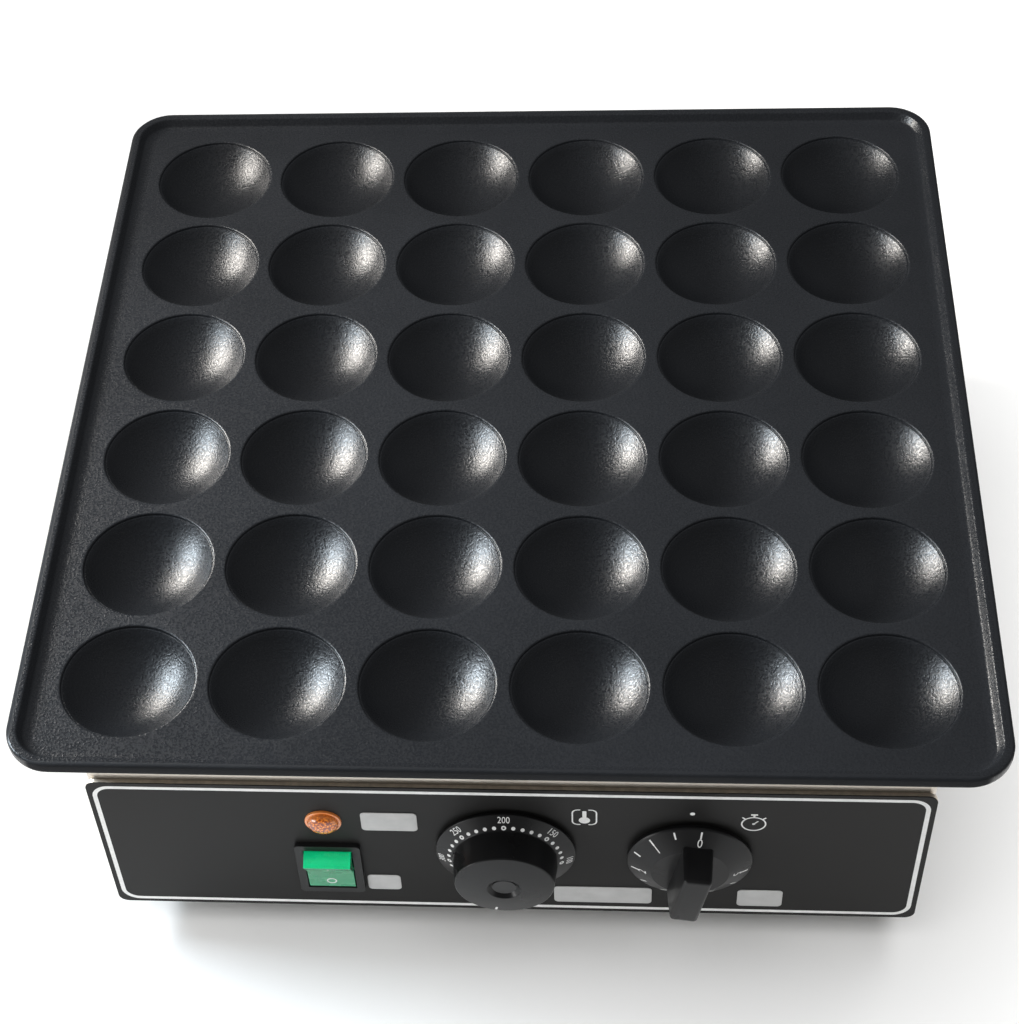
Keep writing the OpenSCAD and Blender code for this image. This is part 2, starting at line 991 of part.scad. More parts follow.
module clamp_bar_at(sx) {
    color([0.6, 0.6, 0.58])
        placed()
            translate([sx * stud_x, 0, bar_z_top - clamp_bar[2]])
                difference() {
                    block_at_middle(clamp_bar);
                    for (y = [-stud_y, 0, stud_y])
                        translate([0, y, -1])
                            cylinder(d = stud_d + 2 * hole_fit, h = clamp_bar[2] + 2);
                }
}

module clamp_studs() {
    low = z_shield - nut_h - 1;
    color([0.72, 0.72, 0.7])
        placed()
            translate([0, 0, low])
                at_studs()
                    cylinder(d = stud_d, h = z_seat + stud_in - 0.5 - low);
}

module clamp_nuts() {
    color([0.75, 0.75, 0.76])
        placed()
            translate([0, 0, bar_z_top - clamp_bar[2] - nut_h])
                at_studs()
                    hex_nut(nut_d, nut_h, stud_d + 2 * thread_fit);
}

module shield_nuts() {
    color([0.75, 0.75, 0.76])
        placed()
            translate([0, 0, z_shield - nut_h])
                at_studs()
                    hex_nut(nut_d, nut_h, stud_d + 2 * thread_fit);
}

// Openings through the shield and the blanket on it
module shield_passages(h, grow) {
    at_studs()
        cylinder(d = stud_d + 2 * hole_fit + grow, h = h);
    at_legs()
        cylinder(d = leg_hole_d + grow, h = h);
    translate([tube_hole[0], tube_hole[1], 0])
        cylinder(d = tube_hole_d + grow, h = h);
}

module heat_shield() {
    color([0.7, 0.7, 0.7])
        placed()
            translate([0, 0, z_shield])
                difference() {
                    block_at_middle([shield_w, shield_w, shield_lip_h]);
                    translate([0, 0, shield_t])
                        block_at_middle([shield_w - 2 * shield_t, shield_w - 2 * shield_t, shield_lip_h]);
                    translate([0, 0, -1])
                        shield_passages(shield_t + 2, 0);
                }
}

module insulation_blanket() {
    blanket_w = shield_w - 2 * shield_t - 1;
    color([0.86, 0.84, 0.78])
        placed()
            translate([0, 0, z_shield + shield_t])
                difference() {
                    block_at_middle([blanket_w, blanket_w, blanket_t]);
                    translate([0, 0, -1])
                        shield_passages(blanket_t + 2, 2);
                }
}

// Plate fixings under the case's top flange

module plate_studs() {
    low = z_seat - sheet_t - fix_nut_h - 2;
    color([0.72, 0.72, 0.7])
        placed()
            translate([0, 0, low])
                at_corners(fix_place, fix_place)
                    cylinder(d = fix_stud_d, h = z_seat + fix_in - 0.5 - low);
}

module plate_nuts() {
    color([0.75, 0.75, 0.76])
        placed()
            translate([0, 0, z_seat - sheet_t - fix_nut_h])
                at_corners(fix_place, fix_place)
                    hex_nut(fix_nut_d, fix_nut_h, fix_stud_d + 2 * thread_fit);
}

// Bulb, its clip and its tube

module thermostat_bulb() {
    color([0.72, 0.5, 0.32])
        placed()
            translate([-bulb_l / 2, 0, bulb_z])
                rotate([0, 90, 0])
                    cylinder(d = bulb_d, h = bulb_l);
}

module bulb_clip() {
    wrap_r = bulb_d / 2 + lay_gap;
    tab_l = clip_screw_y + 4;
    color([0.75, 0.75, 0.74])
        placed()
            translate([-clip_w / 2, 0, 0])
                difference() {
                    union() {
                        translate([0, 0, bulb_z])
                            rotate([0, 90, 0])
                                cylinder(r = wrap_r + clip_t, h = clip_w);
                        translate([0, -tab_l, z_seat - clip_t])
                            cube([clip_w, 2 * tab_l, clip_t]);
                    }
                    translate([-1, 0, bulb_z])
                        rotate([0, 90, 0])
                            cylinder(r = wrap_r, h = clip_w + 2);
                    translate([-1, -tab_l - 1, z_seat])
                        cube([clip_w + 2, 2 * tab_l + 2, 2 * wrap_r]);
                    translate([-1, -wrap_r, bulb_z])
                        cube([clip_w + 2, 2 * wrap_r, 2 * wrap_r]);
                    for (s = [-1, 1])
                        translate([clip_w / 2, s * clip_screw_y, z_seat - clip_t - 1])
                            cylinder(d = clip_screw_d + 2 * hole_fit, h = clip_t + 2);
                }
}

module bulb_clip_screws() {
    color([0.75, 0.75, 0.76])
        placed()
            for (s = [-1, 1])
                translate([0, s * clip_screw_y, z_seat - clip_t - 2.4]) {
                    cylinder(d = 7.4, h = 2.4);
                    cylinder(d = clip_screw_d, h = 2.4 + clip_t + stud_in - 0.5);
                }
}

// Points that the tube passes, from the bulb's end to the thermostat's back
tube_to = [thermostat_x + 9, front_y + wall_depth + thermostat_body[2], panel_z + thermostat_rise + 8];
tube_points = [
    [bulb_l / 2, 0, bulb_z],
    [bulb_l / 2 + 3.4, -1.5, bulb_z - 0.8],
    [tube_hole[0] + 1.5, -7, bulb_z - 4.5],
    [tube_hole[0] + 0.6, -13.5, z_shield + blanket_t + 7],
    [tube_hole[0], tube_hole[1], z_shield + blanket_t],
    [tube_hole[0], tube_hole[1], z_shield - 2],
    [tube_hole[0] - 2, tube_hole[1] - 6, z_shield - 9],
    [34, -50, tube_to[2] + 4],
    [22, tube_to[1] + 46, tube_to[2] + 1],
    [tube_to[0] + 2, tube_to[1] + 16, tube_to[2]],
    tube_to
];
tube_steps = 4;

// Smooth curve through four points
function curve(a, b, c, d, t) =
    0.5 * (2 * b + (c - a) * t + (2 * a - 5 * b + 4 * c - d) * t * t + (3 * b - a - 3 * c + d) * t * t * t);
tube_last = len(tube_points) - 1;
function tube_point(i) = tube_points[min(max(i, 0), tube_last)];
tube_path = [
    for (i = [0 : tube_last - 1])
        for (s = [0 : tube_steps - 1])
            curve(tube_point(i - 1), tube_point(i), tube_point(i + 1), tube_point(i + 2), s / tube_steps),
    tube_points[tube_last]
];

// Ring of points square to the path, held level by a fixed side direction
function unit(v) = v / norm(v);
function tube_way(i) = unit(tube_path[min(i + 1, len(tube_path) - 1)] - tube_path[max(i - 1, 0)]);
tube_side = unit([0.35, 0.25, 0.9]);
tube_sides = 8;
function tube_ring(i) =
    let (w = tube_way(i), u = unit(cross(w, tube_side)), v = cross(w, u))
    [for (k = [0 : tube_sides - 1])
        let (a = 360 * k / tube_sides)
        tube_path[i] + capillary_d / 2 * (cos(a) * u + sin(a) * v)];
tube_count = len(tube_path);

module thermostat_capillary() {
    color([0.72, 0.5, 0.32])
        placed()
            polyhedron(
                points = [for (i = [0 : tube_count - 1]) each tube_ring(i)],
                faces = concat(
                    [[for (k = [0 : tube_sides - 1]) k]],
                    [for (i = [0 : tube_count - 2])
                        for (k = [0 : tube_sides - 1])
                            let (n = (k + 1) % tube_sides, a = i * tube_sides, b = a + tube_sides)
                            [a + k, b + k, b + n, a + n]],
                    [[for (k = [0 : tube_sides - 1]) tube_count * tube_sides - 1 - k]]
                )
            );
}

// Mains side

module terminal_block() {
    color([0.9, 0.89, 0.85])
        placed()
            translate([block_at[0], block_at[1], z_case])
                difference() {
                    block_at_middle(block);
                    for (x = [-1, 0, 1]) {
                        translate([16 * x, block[1] / 2 + 1, 9])
                            rotate([90, 0, 0])
                                cylinder(d = 5, h = block[1] + 2);
                        for (y = [-6, 6])
                            translate([16 * x, y, 9])
                                cylinder(d = 4 + 2 * thread_fit, h = block[2]);
                    }
                }
}

module terminal_screws() {
    color([0.75, 0.65, 0.38])
        placed()
            translate([block_at[0], block_at[1], z_case + 11.5])
                for (x = [-1, 0, 1])
                    for (y = [-6, 6])
                        translate([16 * x, y, 0])
                            cylinder(d = 4, h = block[2] - 11.5 - 1);
}

module cable_gland() {
    color([0.09, 0.09, 0.09])
        placed()
            on_rear(gland_x, gland_z)
                difference() {
                    union() {
                        cylinder(d = gland_hex_d, h = gland_hex_h, $fn = 6);
                        translate([0, 0, gland_hex_h - tiny])
                            cylinder(d1 = gland_hex_d - 5, d2 = gland_bore_d + 4, h = gland_cap_h);
                        translate([0, 0, -sheet_t - gland_nut_h - 2])
                            cylinder(d = gland_neck_d, h = sheet_t + gland_nut_h + 2 + tiny);
                    }
                    translate([0, 0, -sheet_t - gland_nut_h - 3])
                        cylinder(d = gland_bore_d, h = sheet_t + gland_nut_h + gland_hex_h + gland_cap_h + 6);
                }
}

module gland_nut() {
    color([0.09, 0.09, 0.09])
        placed()
            on_rear(gland_x, gland_z)
                translate([0, 0, -sheet_t - gland_nut_h])
                    hex_nut(gland_hex_d, gland_nut_h, gland_neck_d + 2 * thread_fit);
}

module earth_screw() {
    color([0.75, 0.65, 0.38])
        placed()
            translate([earth_at[0], earth_at[1], foot_h - base_screw_head_h]) {
                cylinder(d = 2 * base_screw_d, h = base_screw_head_h);
                cylinder(d = base_screw_d, h = base_screw_head_h + sheet_t + 16);
            }
}

module earth_nut() {
    color([0.75, 0.65, 0.38])
        placed()
            translate([earth_at[0], earth_at[1], z_case])
                hex_nut(8, 3.2, base_screw_d + 2 * thread_fit);
}

baking_plate();
casing();
base_plate();
control_panel();
heat_shield();
insulation_blanket();
hairpin(row_y[0], row_y[1]);  // heater_front
hairpin(row_y[2], row_y[3]);  // heater_middle
hairpin(row_y[4], row_y[5]);  // heater_rear
heater_insulators();
heater_terminals();
clamp_bar_at(-1);  // clamp_bar_left
clamp_bar_at(1);  // clamp_bar_right
clamp_studs();
clamp_nuts();
shield_nuts();
plate_studs();
plate_nuts();
foot(-1, -1);  // foot_front_left
foot(1, -1);  // foot_front_right
foot(-1, 1);  // foot_rear_left
foot(1, 1);  // foot_rear_right
foot_screws();
foot_nuts();
base_screws();
panel_nuts();
lamp_lens();
lamp_body();
lamp_clip();
switch_housing();
switch_rocker();
switch_terminals();
thermostat_body_node();  // thermostat_body
thermostat_screws();
thermostat_shaft();
thermostat_knob();
thermostat_knob_cap();
thermostat_knob_clip();
thermostat_bulb();
thermostat_capillary();
bulb_clip();
bulb_clip_screws();
timer_body_node();  // timer_body
timer_bell();
timer_screws();
timer_shaft();
timer_knob();
timer_knob_clip();
terminal_block();
terminal_screws();
cable_gland();
gland_nut();
earth_screw();
earth_nut();
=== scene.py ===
"""Mini pancake maker: its cast plate, knobs, printed panel and finishes, and the studio it is shown in."""

import json
import math

import bmesh
import bpy
from bpy.props import FloatProperty, FloatVectorProperty, IntProperty, PointerProperty
from bpy.types import Operator, Panel, PropertyGroup
from mathutils import Matrix, Vector


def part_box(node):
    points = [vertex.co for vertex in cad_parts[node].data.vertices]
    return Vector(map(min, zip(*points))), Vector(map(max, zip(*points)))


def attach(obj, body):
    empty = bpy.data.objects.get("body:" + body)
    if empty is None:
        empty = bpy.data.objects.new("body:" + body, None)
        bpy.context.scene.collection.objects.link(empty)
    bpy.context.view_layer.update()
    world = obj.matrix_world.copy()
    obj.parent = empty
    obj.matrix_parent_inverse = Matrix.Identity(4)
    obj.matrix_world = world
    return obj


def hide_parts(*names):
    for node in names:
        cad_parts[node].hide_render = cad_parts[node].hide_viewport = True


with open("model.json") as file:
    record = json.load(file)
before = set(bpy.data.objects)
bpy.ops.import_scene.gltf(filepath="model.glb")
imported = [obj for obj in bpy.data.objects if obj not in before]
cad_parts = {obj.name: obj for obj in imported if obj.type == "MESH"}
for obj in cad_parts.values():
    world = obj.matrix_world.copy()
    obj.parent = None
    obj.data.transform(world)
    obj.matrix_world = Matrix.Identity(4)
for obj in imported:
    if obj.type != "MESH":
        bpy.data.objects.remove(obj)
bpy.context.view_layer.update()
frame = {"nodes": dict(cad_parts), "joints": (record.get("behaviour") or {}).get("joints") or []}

bl_info = {
    "name": "Mini pancake maker",
    "version": (1, 0, 0),
    "blender": (4, 5, 0),
    "location": "View3D > Sidebar > Pancake maker",
    "description": "Models and finishes a mini pancake maker round its packed solids",
    "category": "Object",
}

MM = 0.001

PLATE_LOW, PLATE_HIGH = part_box("baking_plate")
PLATE_MIDDLE = (PLATE_LOW + PLATE_HIGH) / 2
PANEL_LOW, PANEL_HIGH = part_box("control_panel")
PANEL_MIDDLE = (PANEL_LOW + PANEL_HIGH) / 2
PANEL_FACE = PANEL_LOW.y
LENS_LOW, LENS_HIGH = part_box("lamp_lens")
LENS_MIDDLE = (LENS_LOW + LENS_HIGH) / 2
JOINT_AT = {joint["name"]: Vector(joint["pos_m"]) for joint in frame["joints"]}

# Thickness of a print on the panel and on the dials
INK = 0.06 * MM
# Points closer than this are taken as one place
NEAR = 0.01 * MM
# Radius of the bores in the knobs
BORE = 3.05 * MM
# Starts the names of the finishes, which keeps them apart from the frame's own materials
FINISH_MARK = "finish_"


# Settings

def length(name, description, default):
    """A size in metres that a user may change."""
    return FloatProperty(name=name, description=description, default=default, unit="LENGTH", precision=5)


def colour(name, description, default):
    """A colour that a user may change."""
    return FloatVectorProperty(
        name=name, description=description, default=default, subtype="COLOR", min=0, max=1,
    )


def power(name, description, default):
    """A light's power in watts that a user may change."""
    return FloatProperty(name=name, description=description, default=default, unit="POWER")


class PlateSettings(PropertyGroup):
    """Sizes and colour of the baking plate"""
    well_count: IntProperty(name="Wells per row", description="Wells along each side", default=6, min=1)
    well_pitch: length("Well pitch", "Distance between neighbouring wells", 55 * MM)
    well_radius: length("Well radius", "Radius of a well's mouth", 25 * MM)
    well_depth: length("Well depth", "Depth of a well below the cooking surface", 13 * MM)
    lip_depth: length("Lip depth", "Height of the upright lip at a well's mouth", 1.2 * MM)
    lip_width: length("Lip width", "Width of the ledge at the foot of the lip", 0.6 * MM)
    rim_height: length("Rim height", "Height of the rim above the cooking surface", 4 * MM)
    corner_radius: length("Corner radius", "Radius of the plate's corners", 17 * MM)
    under_run: length("Under run", "Width of the slanted underside", 14 * MM)
    under_rise: length("Under rise", "Height of the slanted underside", 17.5 * MM)
    coating: colour("Coating", "Colour of the non-stick coating", (0.0092, 0.01, 0.0115))


class PrintSettings(PropertyGroup):
    """Sizes and colours of what is printed on the panel and the dials"""
    line_inset: length("Line inset", "From the panel's edge to the border line", 2 * MM)
    line_width: length("Line width", "Width of the border line", 1.7 * MM)
    line_radius: length("Line radius", "Outer corner radius of the border line", 7 * MM)
    ink: colour("Ink", "Colour of the printed lines and numbers", (0.74, 0.74, 0.73))
    label: colour("Label", "Colour of the bare label plates", (0.42, 0.42, 0.415))


class KnobSettings(PropertyGroup):
    """Sizes and colour of the two knobs"""
    gap: length("Gap", "Gap between the panel and a knob", 1.2 * MM)
    skirt_radius: length("Skirt radius", "Outer radius of the thermostat's skirt", 26.5 * MM)
    grip_radius: length("Grip radius", "Radius of the thermostat's grip", 18.75 * MM)
    grip_reach: length("Grip reach", "From the panel to the front of the grip", 18.4 * MM)
    disc_radius: length("Disc radius", "Radius of the timer's disc", 23.5 * MM)
    bar_reach: length("Bar reach", "From the panel to the front of the timer's bar", 20.5 * MM)
    number_height: length("Number size", "Letter size of the numbers on the thermostat", 3.9 * MM)
    plastic: colour("Plastic", "Colour of the knobs", (0.006, 0.006, 0.0063))


class StageSettings(PropertyGroup):
    """Camera, lights and floor"""
    lens: FloatProperty(name="Lens", description="Focal length in millimetres", default=78.2, min=1)
    floor: colour("Floor", "Colour of the floor", (0.9, 0.9, 0.895))
    window_power: power("Window", "Power of the window on the left", 4.3)
    ceiling_power: power("Ceiling", "Power of the light above", 95)
    side_power: power("Side", "Power of the low light on the left", 2.1)
    sky: FloatProperty(name="Sky", description="Strength of the light from all round", default=0.12, min=0)


# Modelling by hand

def deselect_all():
    """Leaves edit mode with nothing selected."""
    if bpy.context.mode != "OBJECT":
        bpy.ops.object.mode_set(mode="OBJECT")
    bpy.ops.object.select_all(action="DESELECT")


def pick(piece):
    """Selects one object alone and makes it active."""
    deselect_all()
    piece.select_set(True)
    bpy.context.view_layer.objects.active = piece


def select_where(kind, test):
    """Selects the edited parts of a kind, FACE or EDGE, that pass the test."""
    data = bpy.context.edit_object.data
    bpy.ops.mesh.select_mode(type=kind)
    bpy.ops.mesh.select_all(action="DESELECT")
    mesh = bmesh.from_edit_mesh(data)
    for part in mesh.faces if kind == "FACE" else mesh.edges:
        part.select_set(test(part))
    bmesh.update_edit_mesh(data)


def extrude(rise):
    """Extrudes what is selected in edit mode upwards."""
    bpy.ops.mesh.extrude_region_move(TRANSFORM_OT_translate={"value": (0, 0, rise)})


def inset(thickness, depth):
    """Insets the faces that are selected in edit mode."""
    bpy.ops.mesh.inset(thickness=thickness, depth=depth, use_even_offset=True)


def scale_selected(x, y, z=1.0, centre=(0, 0, 0)):
    """Scales what is selected in edit mode about a point."""
    bpy.ops.transform.resize(value=(x, y, z), center_override=centre)


def close_up(name):
    """Turns all faces of the edited mesh outwards, leaves edit mode and names the piece."""
    bpy.ops.mesh.select_all(action="SELECT")
    bpy.ops.mesh.normals_make_consistent()
    bpy.ops.object.mode_set(mode="OBJECT")
    piece = bpy.context.active_object
    piece.name = name
    return piece


def apply_modifier(piece, kind, **values):
    """Adds a modifier, sets its values and applies it."""
    pick(piece)
    modifier = piece.modifiers.new(kind.title(), kind)
    for name, value in values.items():
        setattr(modifier, name, value)
    bpy.ops.object.modifier_apply(modifier=modifier.name)


def soften(piece, width, segments, angle):
    """Rounds the sharp edges of a piece."""
    apply_modifier(
        piece, "BEVEL", width=width, segments=segments, limit_method="ANGLE", angle_limit=math.radians(angle),
    )


def smooth(piece, angle):
    """Shades a piece smooth, except across edges sharper than the angle in degrees."""
    pick(piece)
    bpy.ops.object.shade_smooth_by_angle(angle=math.radians(angle))


def settle(piece, place):
    """Puts a piece in its place, with the place in its mesh."""
    piece.matrix_world = place
    pick(piece)
    bpy.ops.object.transform_apply()


def join(pieces, name):
    """Joins pieces into one mesh."""
    deselect_all()
    for piece in pieces:
        piece.select_set(True)
    bpy.context.view_layer.objects.active = pieces[0]
    bpy.ops.object.join()
    pieces[0].name = name
    pieces[0].data.name = name
    return pieces[0]


def dress(piece, finish):
    """Puts a finish that an earlier step made on a piece."""
    piece.data.materials.clear()
    piece.data.materials.append(bpy.data.materials[FINISH_MARK + finish])


def finish_piece(piece, finish, body, slot, *nodes):
    """Gives a piece its finish and its body, and hides the nodes that it stands for; the slot is not used."""
    dress(piece, finish)
    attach(piece, body)
    if nodes:
        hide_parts(*nodes)


def finish_print(marks, name, place, body):
    """Joins marks into one print, puts it in its place and inks it."""
    piece = join(marks, name)
    settle(piece, place)
    finish_piece(piece, "white_ink", body, "ceramic")


def cooking_height(plate):
    """Height of the cooking surface above the ground."""
    return PLATE_HIGH.z - plate.rim_height


def on_panel(x, z):
    """A frame on the panel's face: x to the right, y up and z out of the panel."""
    return Matrix.Translation((x, PANEL_FACE, z)) @ Matrix.Rotation(math.radians(90), 4, "X")


def rounded(corners, steps):
    """Rounds the corners (x, y, radius) of an open outline with arcs."""
    points = []
    for index, (x, y, radius) in enumerate(corners):
        here = Vector((x, y))
        if radius == 0 or index in (0, len(corners) - 1):
            points.append(here)
            continue
        back = (Vector(corners[index - 1][:2]) - here).normalized()
        ahead = (Vector(corners[index + 1][:2]) - here).normalized()
        half = back.angle(ahead) / 2
        middle = here + (back + ahead).normalized() * radius / math.sin(half)
        start = here + back * radius / math.tan(half) - middle
        end = here + ahead * radius / math.tan(half) - middle
        sweep = start.angle_signed(end)
        for step in range(steps + 1):
            points.append(middle + Matrix.Rotation(-sweep * step / steps, 2) @ start)
    return points


def draw_ring(outline, segments):
    """Starts a ring in edit mode, and extrudes and scales it along an outline of (radius, height)."""
    deselect_all()
    radius, height = outline[0]
    bpy.ops.mesh.primitive_circle_add(vertices=segments, radius=radius, enter_editmode=True)
    bpy.ops.mesh.select_mode(type="EDGE")
    bpy.ops.mesh.select_all(action="SELECT")
    bpy.ops.transform.translate(value=(0, 0, height))
    for (r0, z0), (r1, z1) in zip(outline, outline[1:]):
        extrude(z1 - z0)
        scale_selected(r1 / r0, r1 / r0)


def turned(name, outline, segments):
    """Models a turned piece round Z along its half outline."""
    draw_ring(outline, segments)
    bpy.ops.mesh.select_all(action="SELECT")
    bpy.ops.mesh.fill_holes(sides=0)
    return close_up(name)


def start_sheet(width, height, corner, segments):
    """Starts a flat sheet round the origin, with round corners if asked for, and stays in edit mode."""
    deselect_all()
    bpy.ops.mesh.primitive_plane_add(size=1, enter_editmode=True)
    scale_selected(width, height)
    if corner:
        bpy.ops.mesh.bevel(offset=corner, segments=segments, affect="VERTICES")


def start_disc(radius, segments):
    """Starts a flat disc round the origin and stays in edit mode."""
    deselect_all()
    bpy.ops.mesh.primitive_circle_add(vertices=segments, radius=radius, fill_type="NGON", enter_editmode=True)


def cut_hollow(width):
    """Leaves a band of the given width of the face that is selected in edit mode."""
    inset(width, 0)
    bpy.ops.mesh.delete(type="FACE")


def thicken(name, depth):
    """Ends a flat shape: gives it its depth along Z and leaves edit mode."""
    bpy.ops.mesh.select_all(action="SELECT")
    extrude(depth)
    return close_up(name)


def at(x, y, turn=0.0):
    """A place in a flat drawing, turned anticlockwise by an angle in degrees."""
    return Matrix.Translation((x, y, 0)) @ Matrix.Rotation(math.radians(turn), 4, "Z")


def printed(place):
    """Ends a flat shape as a print and puts it in its place."""
    piece = thicken("print", INK)
    settle(piece, place)
    return piece


def strip(width, height, place, corner=0.0):
    """A printed bar."""
    start_sheet(width, height, corner, segments=4)
    return printed(place)


def dot(radius, place, segments=24):
    """A printed round dot."""
    start_disc(radius, segments)
    return printed(place)


def ring(radius, width, place, segments):
    """A printed ring."""
    start_disc(radius, segments)
    cut_hollow(width)
    return printed(place)


def number(words, size, place, narrow):
    """A printed number, centred on its place and drawn in sideways."""
    deselect_all()
    bpy.ops.object.text_add()
    text = bpy.context.active_object.data
    text.body = words
    text.size = size
    text.align_x = "CENTER"
    text.align_y = "CENTER"
    text.resolution_u = 4
    text.extrude = INK / 2
    bpy.ops.object.convert(target="MESH")
    piece = bpy.context.active_object
    settle(piece, place @ Matrix.Diagonal((narrow, 1, 1, 1)))
    return piece


# Finishes

class Finish:
    """A material whose pattern is built from nodes on the piece's own coordinates."""

    def __init__(self, name, **sockets):
        material = bpy.data.materials.new(FINISH_MARK + name)
        material.use_nodes = True
        self.tree = material.node_tree
        self.shader = self.tree.nodes["Principled BSDF"]
        self.place = self.tree.nodes.new("ShaderNodeTexCoord").outputs["Object"]
        for socket, value in sockets.items():
            self.shader.inputs[socket.replace("_", " ")].default_value = value

    def node(self, kind, links=None, **inputs):
        """Adds a node, with values on sockets by name and links to sockets by name or number."""
        made = self.tree.nodes.new(kind)
        for name, value in inputs.items():
            made.inputs[name.replace("_", " ")].default_value = value
        for name, source in (links or {}).items():
            self.tree.links.new(source, made.inputs[name])
        return made

    def mapped(self, **inputs):
        """The piece's coordinates, moved or stretched."""
        return self.node("ShaderNodeMapping", {"Vector": self.place}, **inputs).outputs["Vector"]

    def split(self, place=None):
        """The x, y and z of the piece's coordinates, or of other ones."""
        return self.node("ShaderNodeSeparateXYZ", {"Vector": place or self.place}).outputs

    def noise(self, per_metre, detail=3.0, place=None, roughness=0.55):
        """Soft noise with so many features to the metre."""
        made = self.node(
            "ShaderNodeTexNoise", {"Vector": place or self.place},
            Scale=per_metre, Detail=detail, Roughness=roughness,
        )
        return made.outputs["Fac"]

    def grains(self, per_metre):
        """Rounded grains, from 0 at a grain's middle."""
        made = self.node("ShaderNodeTexVoronoi", {"Vector": self.place}, Scale=per_metre)
        return made.outputs["Distance"]

    def between(self, source, low, high, start=0.3, end=0.7):
        """Maps a pattern from start to end onto low to high."""
        made = self.node(
            "ShaderNodeMapRange", {"Value": source}, From_Min=start, From_Max=end, To_Min=low, To_Max=high,
        )
        return made.outputs["Result"]

    def colours(self, source, *stops):
        """Maps a pattern onto colours at given places."""
        made = self.node("ShaderNodeValToRGB", {"Fac": source})
        ramp = made.color_ramp
        while len(ramp.elements) < len(stops):
            ramp.elements.new(1.0)
        for element, (position, tone) in zip(ramp.elements, stops):
            element.position = position
            element.color = (*tone, 1)
        return made.outputs["Color"]

    def mixed(self, factor, first, second):
        """Goes from one colour pattern to another with a factor."""
        made = self.tree.nodes.new("ShaderNodeMix")
        made.data_type = "RGBA"
        # The node has sockets for every kind of data: these are the ones for colours
        for index, source in ((0, factor), (6, first), (7, second)):
            self.tree.links.new(source, made.inputs[index])
        return made.outputs[2]

    def worked(self, operation, *sources):
        """Joins number patterns by a math operation."""
        made = self.node("ShaderNodeMath", dict(enumerate(sources)))
        made.operation = operation
        return made.outputs["Value"]

    def raised(self, height, depth, strength, under=None):
        """A bumped normal, over another one if given."""
        links = {"Height": height}
        if under:
            links["Normal"] = under
        made = self.node("ShaderNodeBump", links, Strength=strength, Distance=depth)
        return made.outputs["Normal"]

    def feed(self, **sources):
        """Links patterns to the shader's sockets."""
        for name, source in sources.items():
            self.tree.links.new(source, self.shader.inputs[name.replace("_", " ")])


def shade(colour_value, factor):
    """A colour made lighter or darker."""
    return tuple(min(1.0, part * factor) for part in colour_value)


def tones(base, dark, light, start=0.3, end=0.7):
    """The stops of a pattern that goes from a darker to a lighter shade of a colour."""
    return (start, shade(base, dark)), (end, shade(base, light))


def coating_finish(plate):
    """Sprayed non-stick coating: a glinting grain, painted shade down in the wells, and dull on the outer
    walls.
    """
    made = Finish("non_stick_coating")
    base = plate.coating
    surface = cooking_height(plate)
    reach = (PLATE_HIGH.x - PLATE_LOW.x) / 2
    cloud = made.noise(14, 4)
    pebbles = made.grains(1500)
    grain = made.noise(1150, 2, roughness=0.6)
    along = made.split(made.mapped(Location=(-PLATE_MIDDLE.x, -PLATE_MIDDLE.y, 0)))
    height = along["Z"]
    sideways = made.worked("ABSOLUTE", along["X"])
    outwards = made.worked("MAXIMUM", sideways, made.worked("ABSOLUTE", along["Y"]))
    rim_side = made.between(outwards, 0, 1, reach - 2.4 * MM, reach - 1.2 * MM)
    overhang = made.between(outwards, 0, 1, reach - 12 * MM, reach - 10 * MM)
    below = made.between(height, 1, 0, surface - 1.5 * MM, surface - 0.5 * MM)
    wall = made.worked("MAXIMUM", rim_side, made.worked("MINIMUM", overhang, below))
    # Painted shade: below the cooking surface the wells take darker tones of the coating
    out_of_painted_shade = made.between(height, 0, 1, surface - 3 * MM, surface - 0.5 * MM)
    painted_well_shade = made.colours(cloud, *tones(base, 0.62, 0.78))
    flat = made.colours(cloud, (0.3, shade(base, 0.88)), (0.52, base), (0.75, shade(base, 1.18)))
    rough = made.raised(pebbles, 0.06 * MM, 0.6)
    rough = made.raised(grain, 0.21 * MM, 0.75, rough)
    sheen = made.between(height, 0.29, 0.25, surface + 0.8 * MM, surface + 2.5 * MM)
    glint = made.worked("ADD", sheen, made.between(grain, 0.1, -0.08, 0.38, 0.62))
    made.feed(
        Base_Color=made.mixed(out_of_painted_shade, painted_well_shade, flat), Normal=rough,
        Roughness=made.worked("MAXIMUM", glint, made.between(wall, 0.1, 0.75, 0, 1)),
        Specular_IOR_Level=made.between(wall, 0.3, 0.12, 0, 1),
    )


def steel_finish():
    """Stainless sheet brushed along its length."""
    made = Finish("brushed_steel", Metallic=1.0)
    # Steel grey with a warm tint that is a painted reflection of brown surroundings
    base = (0.64, 0.585, 0.515)
    lines = made.noise(260, 3, made.mapped(Scale=(0.02, 0.02, 9)))
    tone = made.colours(lines, *tones(base, 0.72, 1.12, 0.25, 0.75))
    gloss = made.between(made.noise(9, 2), 0.26, 0.38)
    made.feed(Base_Color=tone, Roughness=gloss, Normal=made.raised(lines, 0.03 * MM, 0.35))


def zinc_finish():
    """Bright zinc plating with faint spangle."""
    made = Finish("zinc_plate", Metallic=1.0)
    base = (0.56, 0.56, 0.55)
    tone = made.colours(made.grains(160), *tones(base, 0.88, 1.08, 0.0, 0.7))
    gloss = made.between(made.noise(60, 3), 0.28, 0.45)
    fine = made.raised(made.noise(900, 2), 0.01 * MM, 0.3)
    made.feed(Base_Color=tone, Roughness=gloss, Normal=fine)


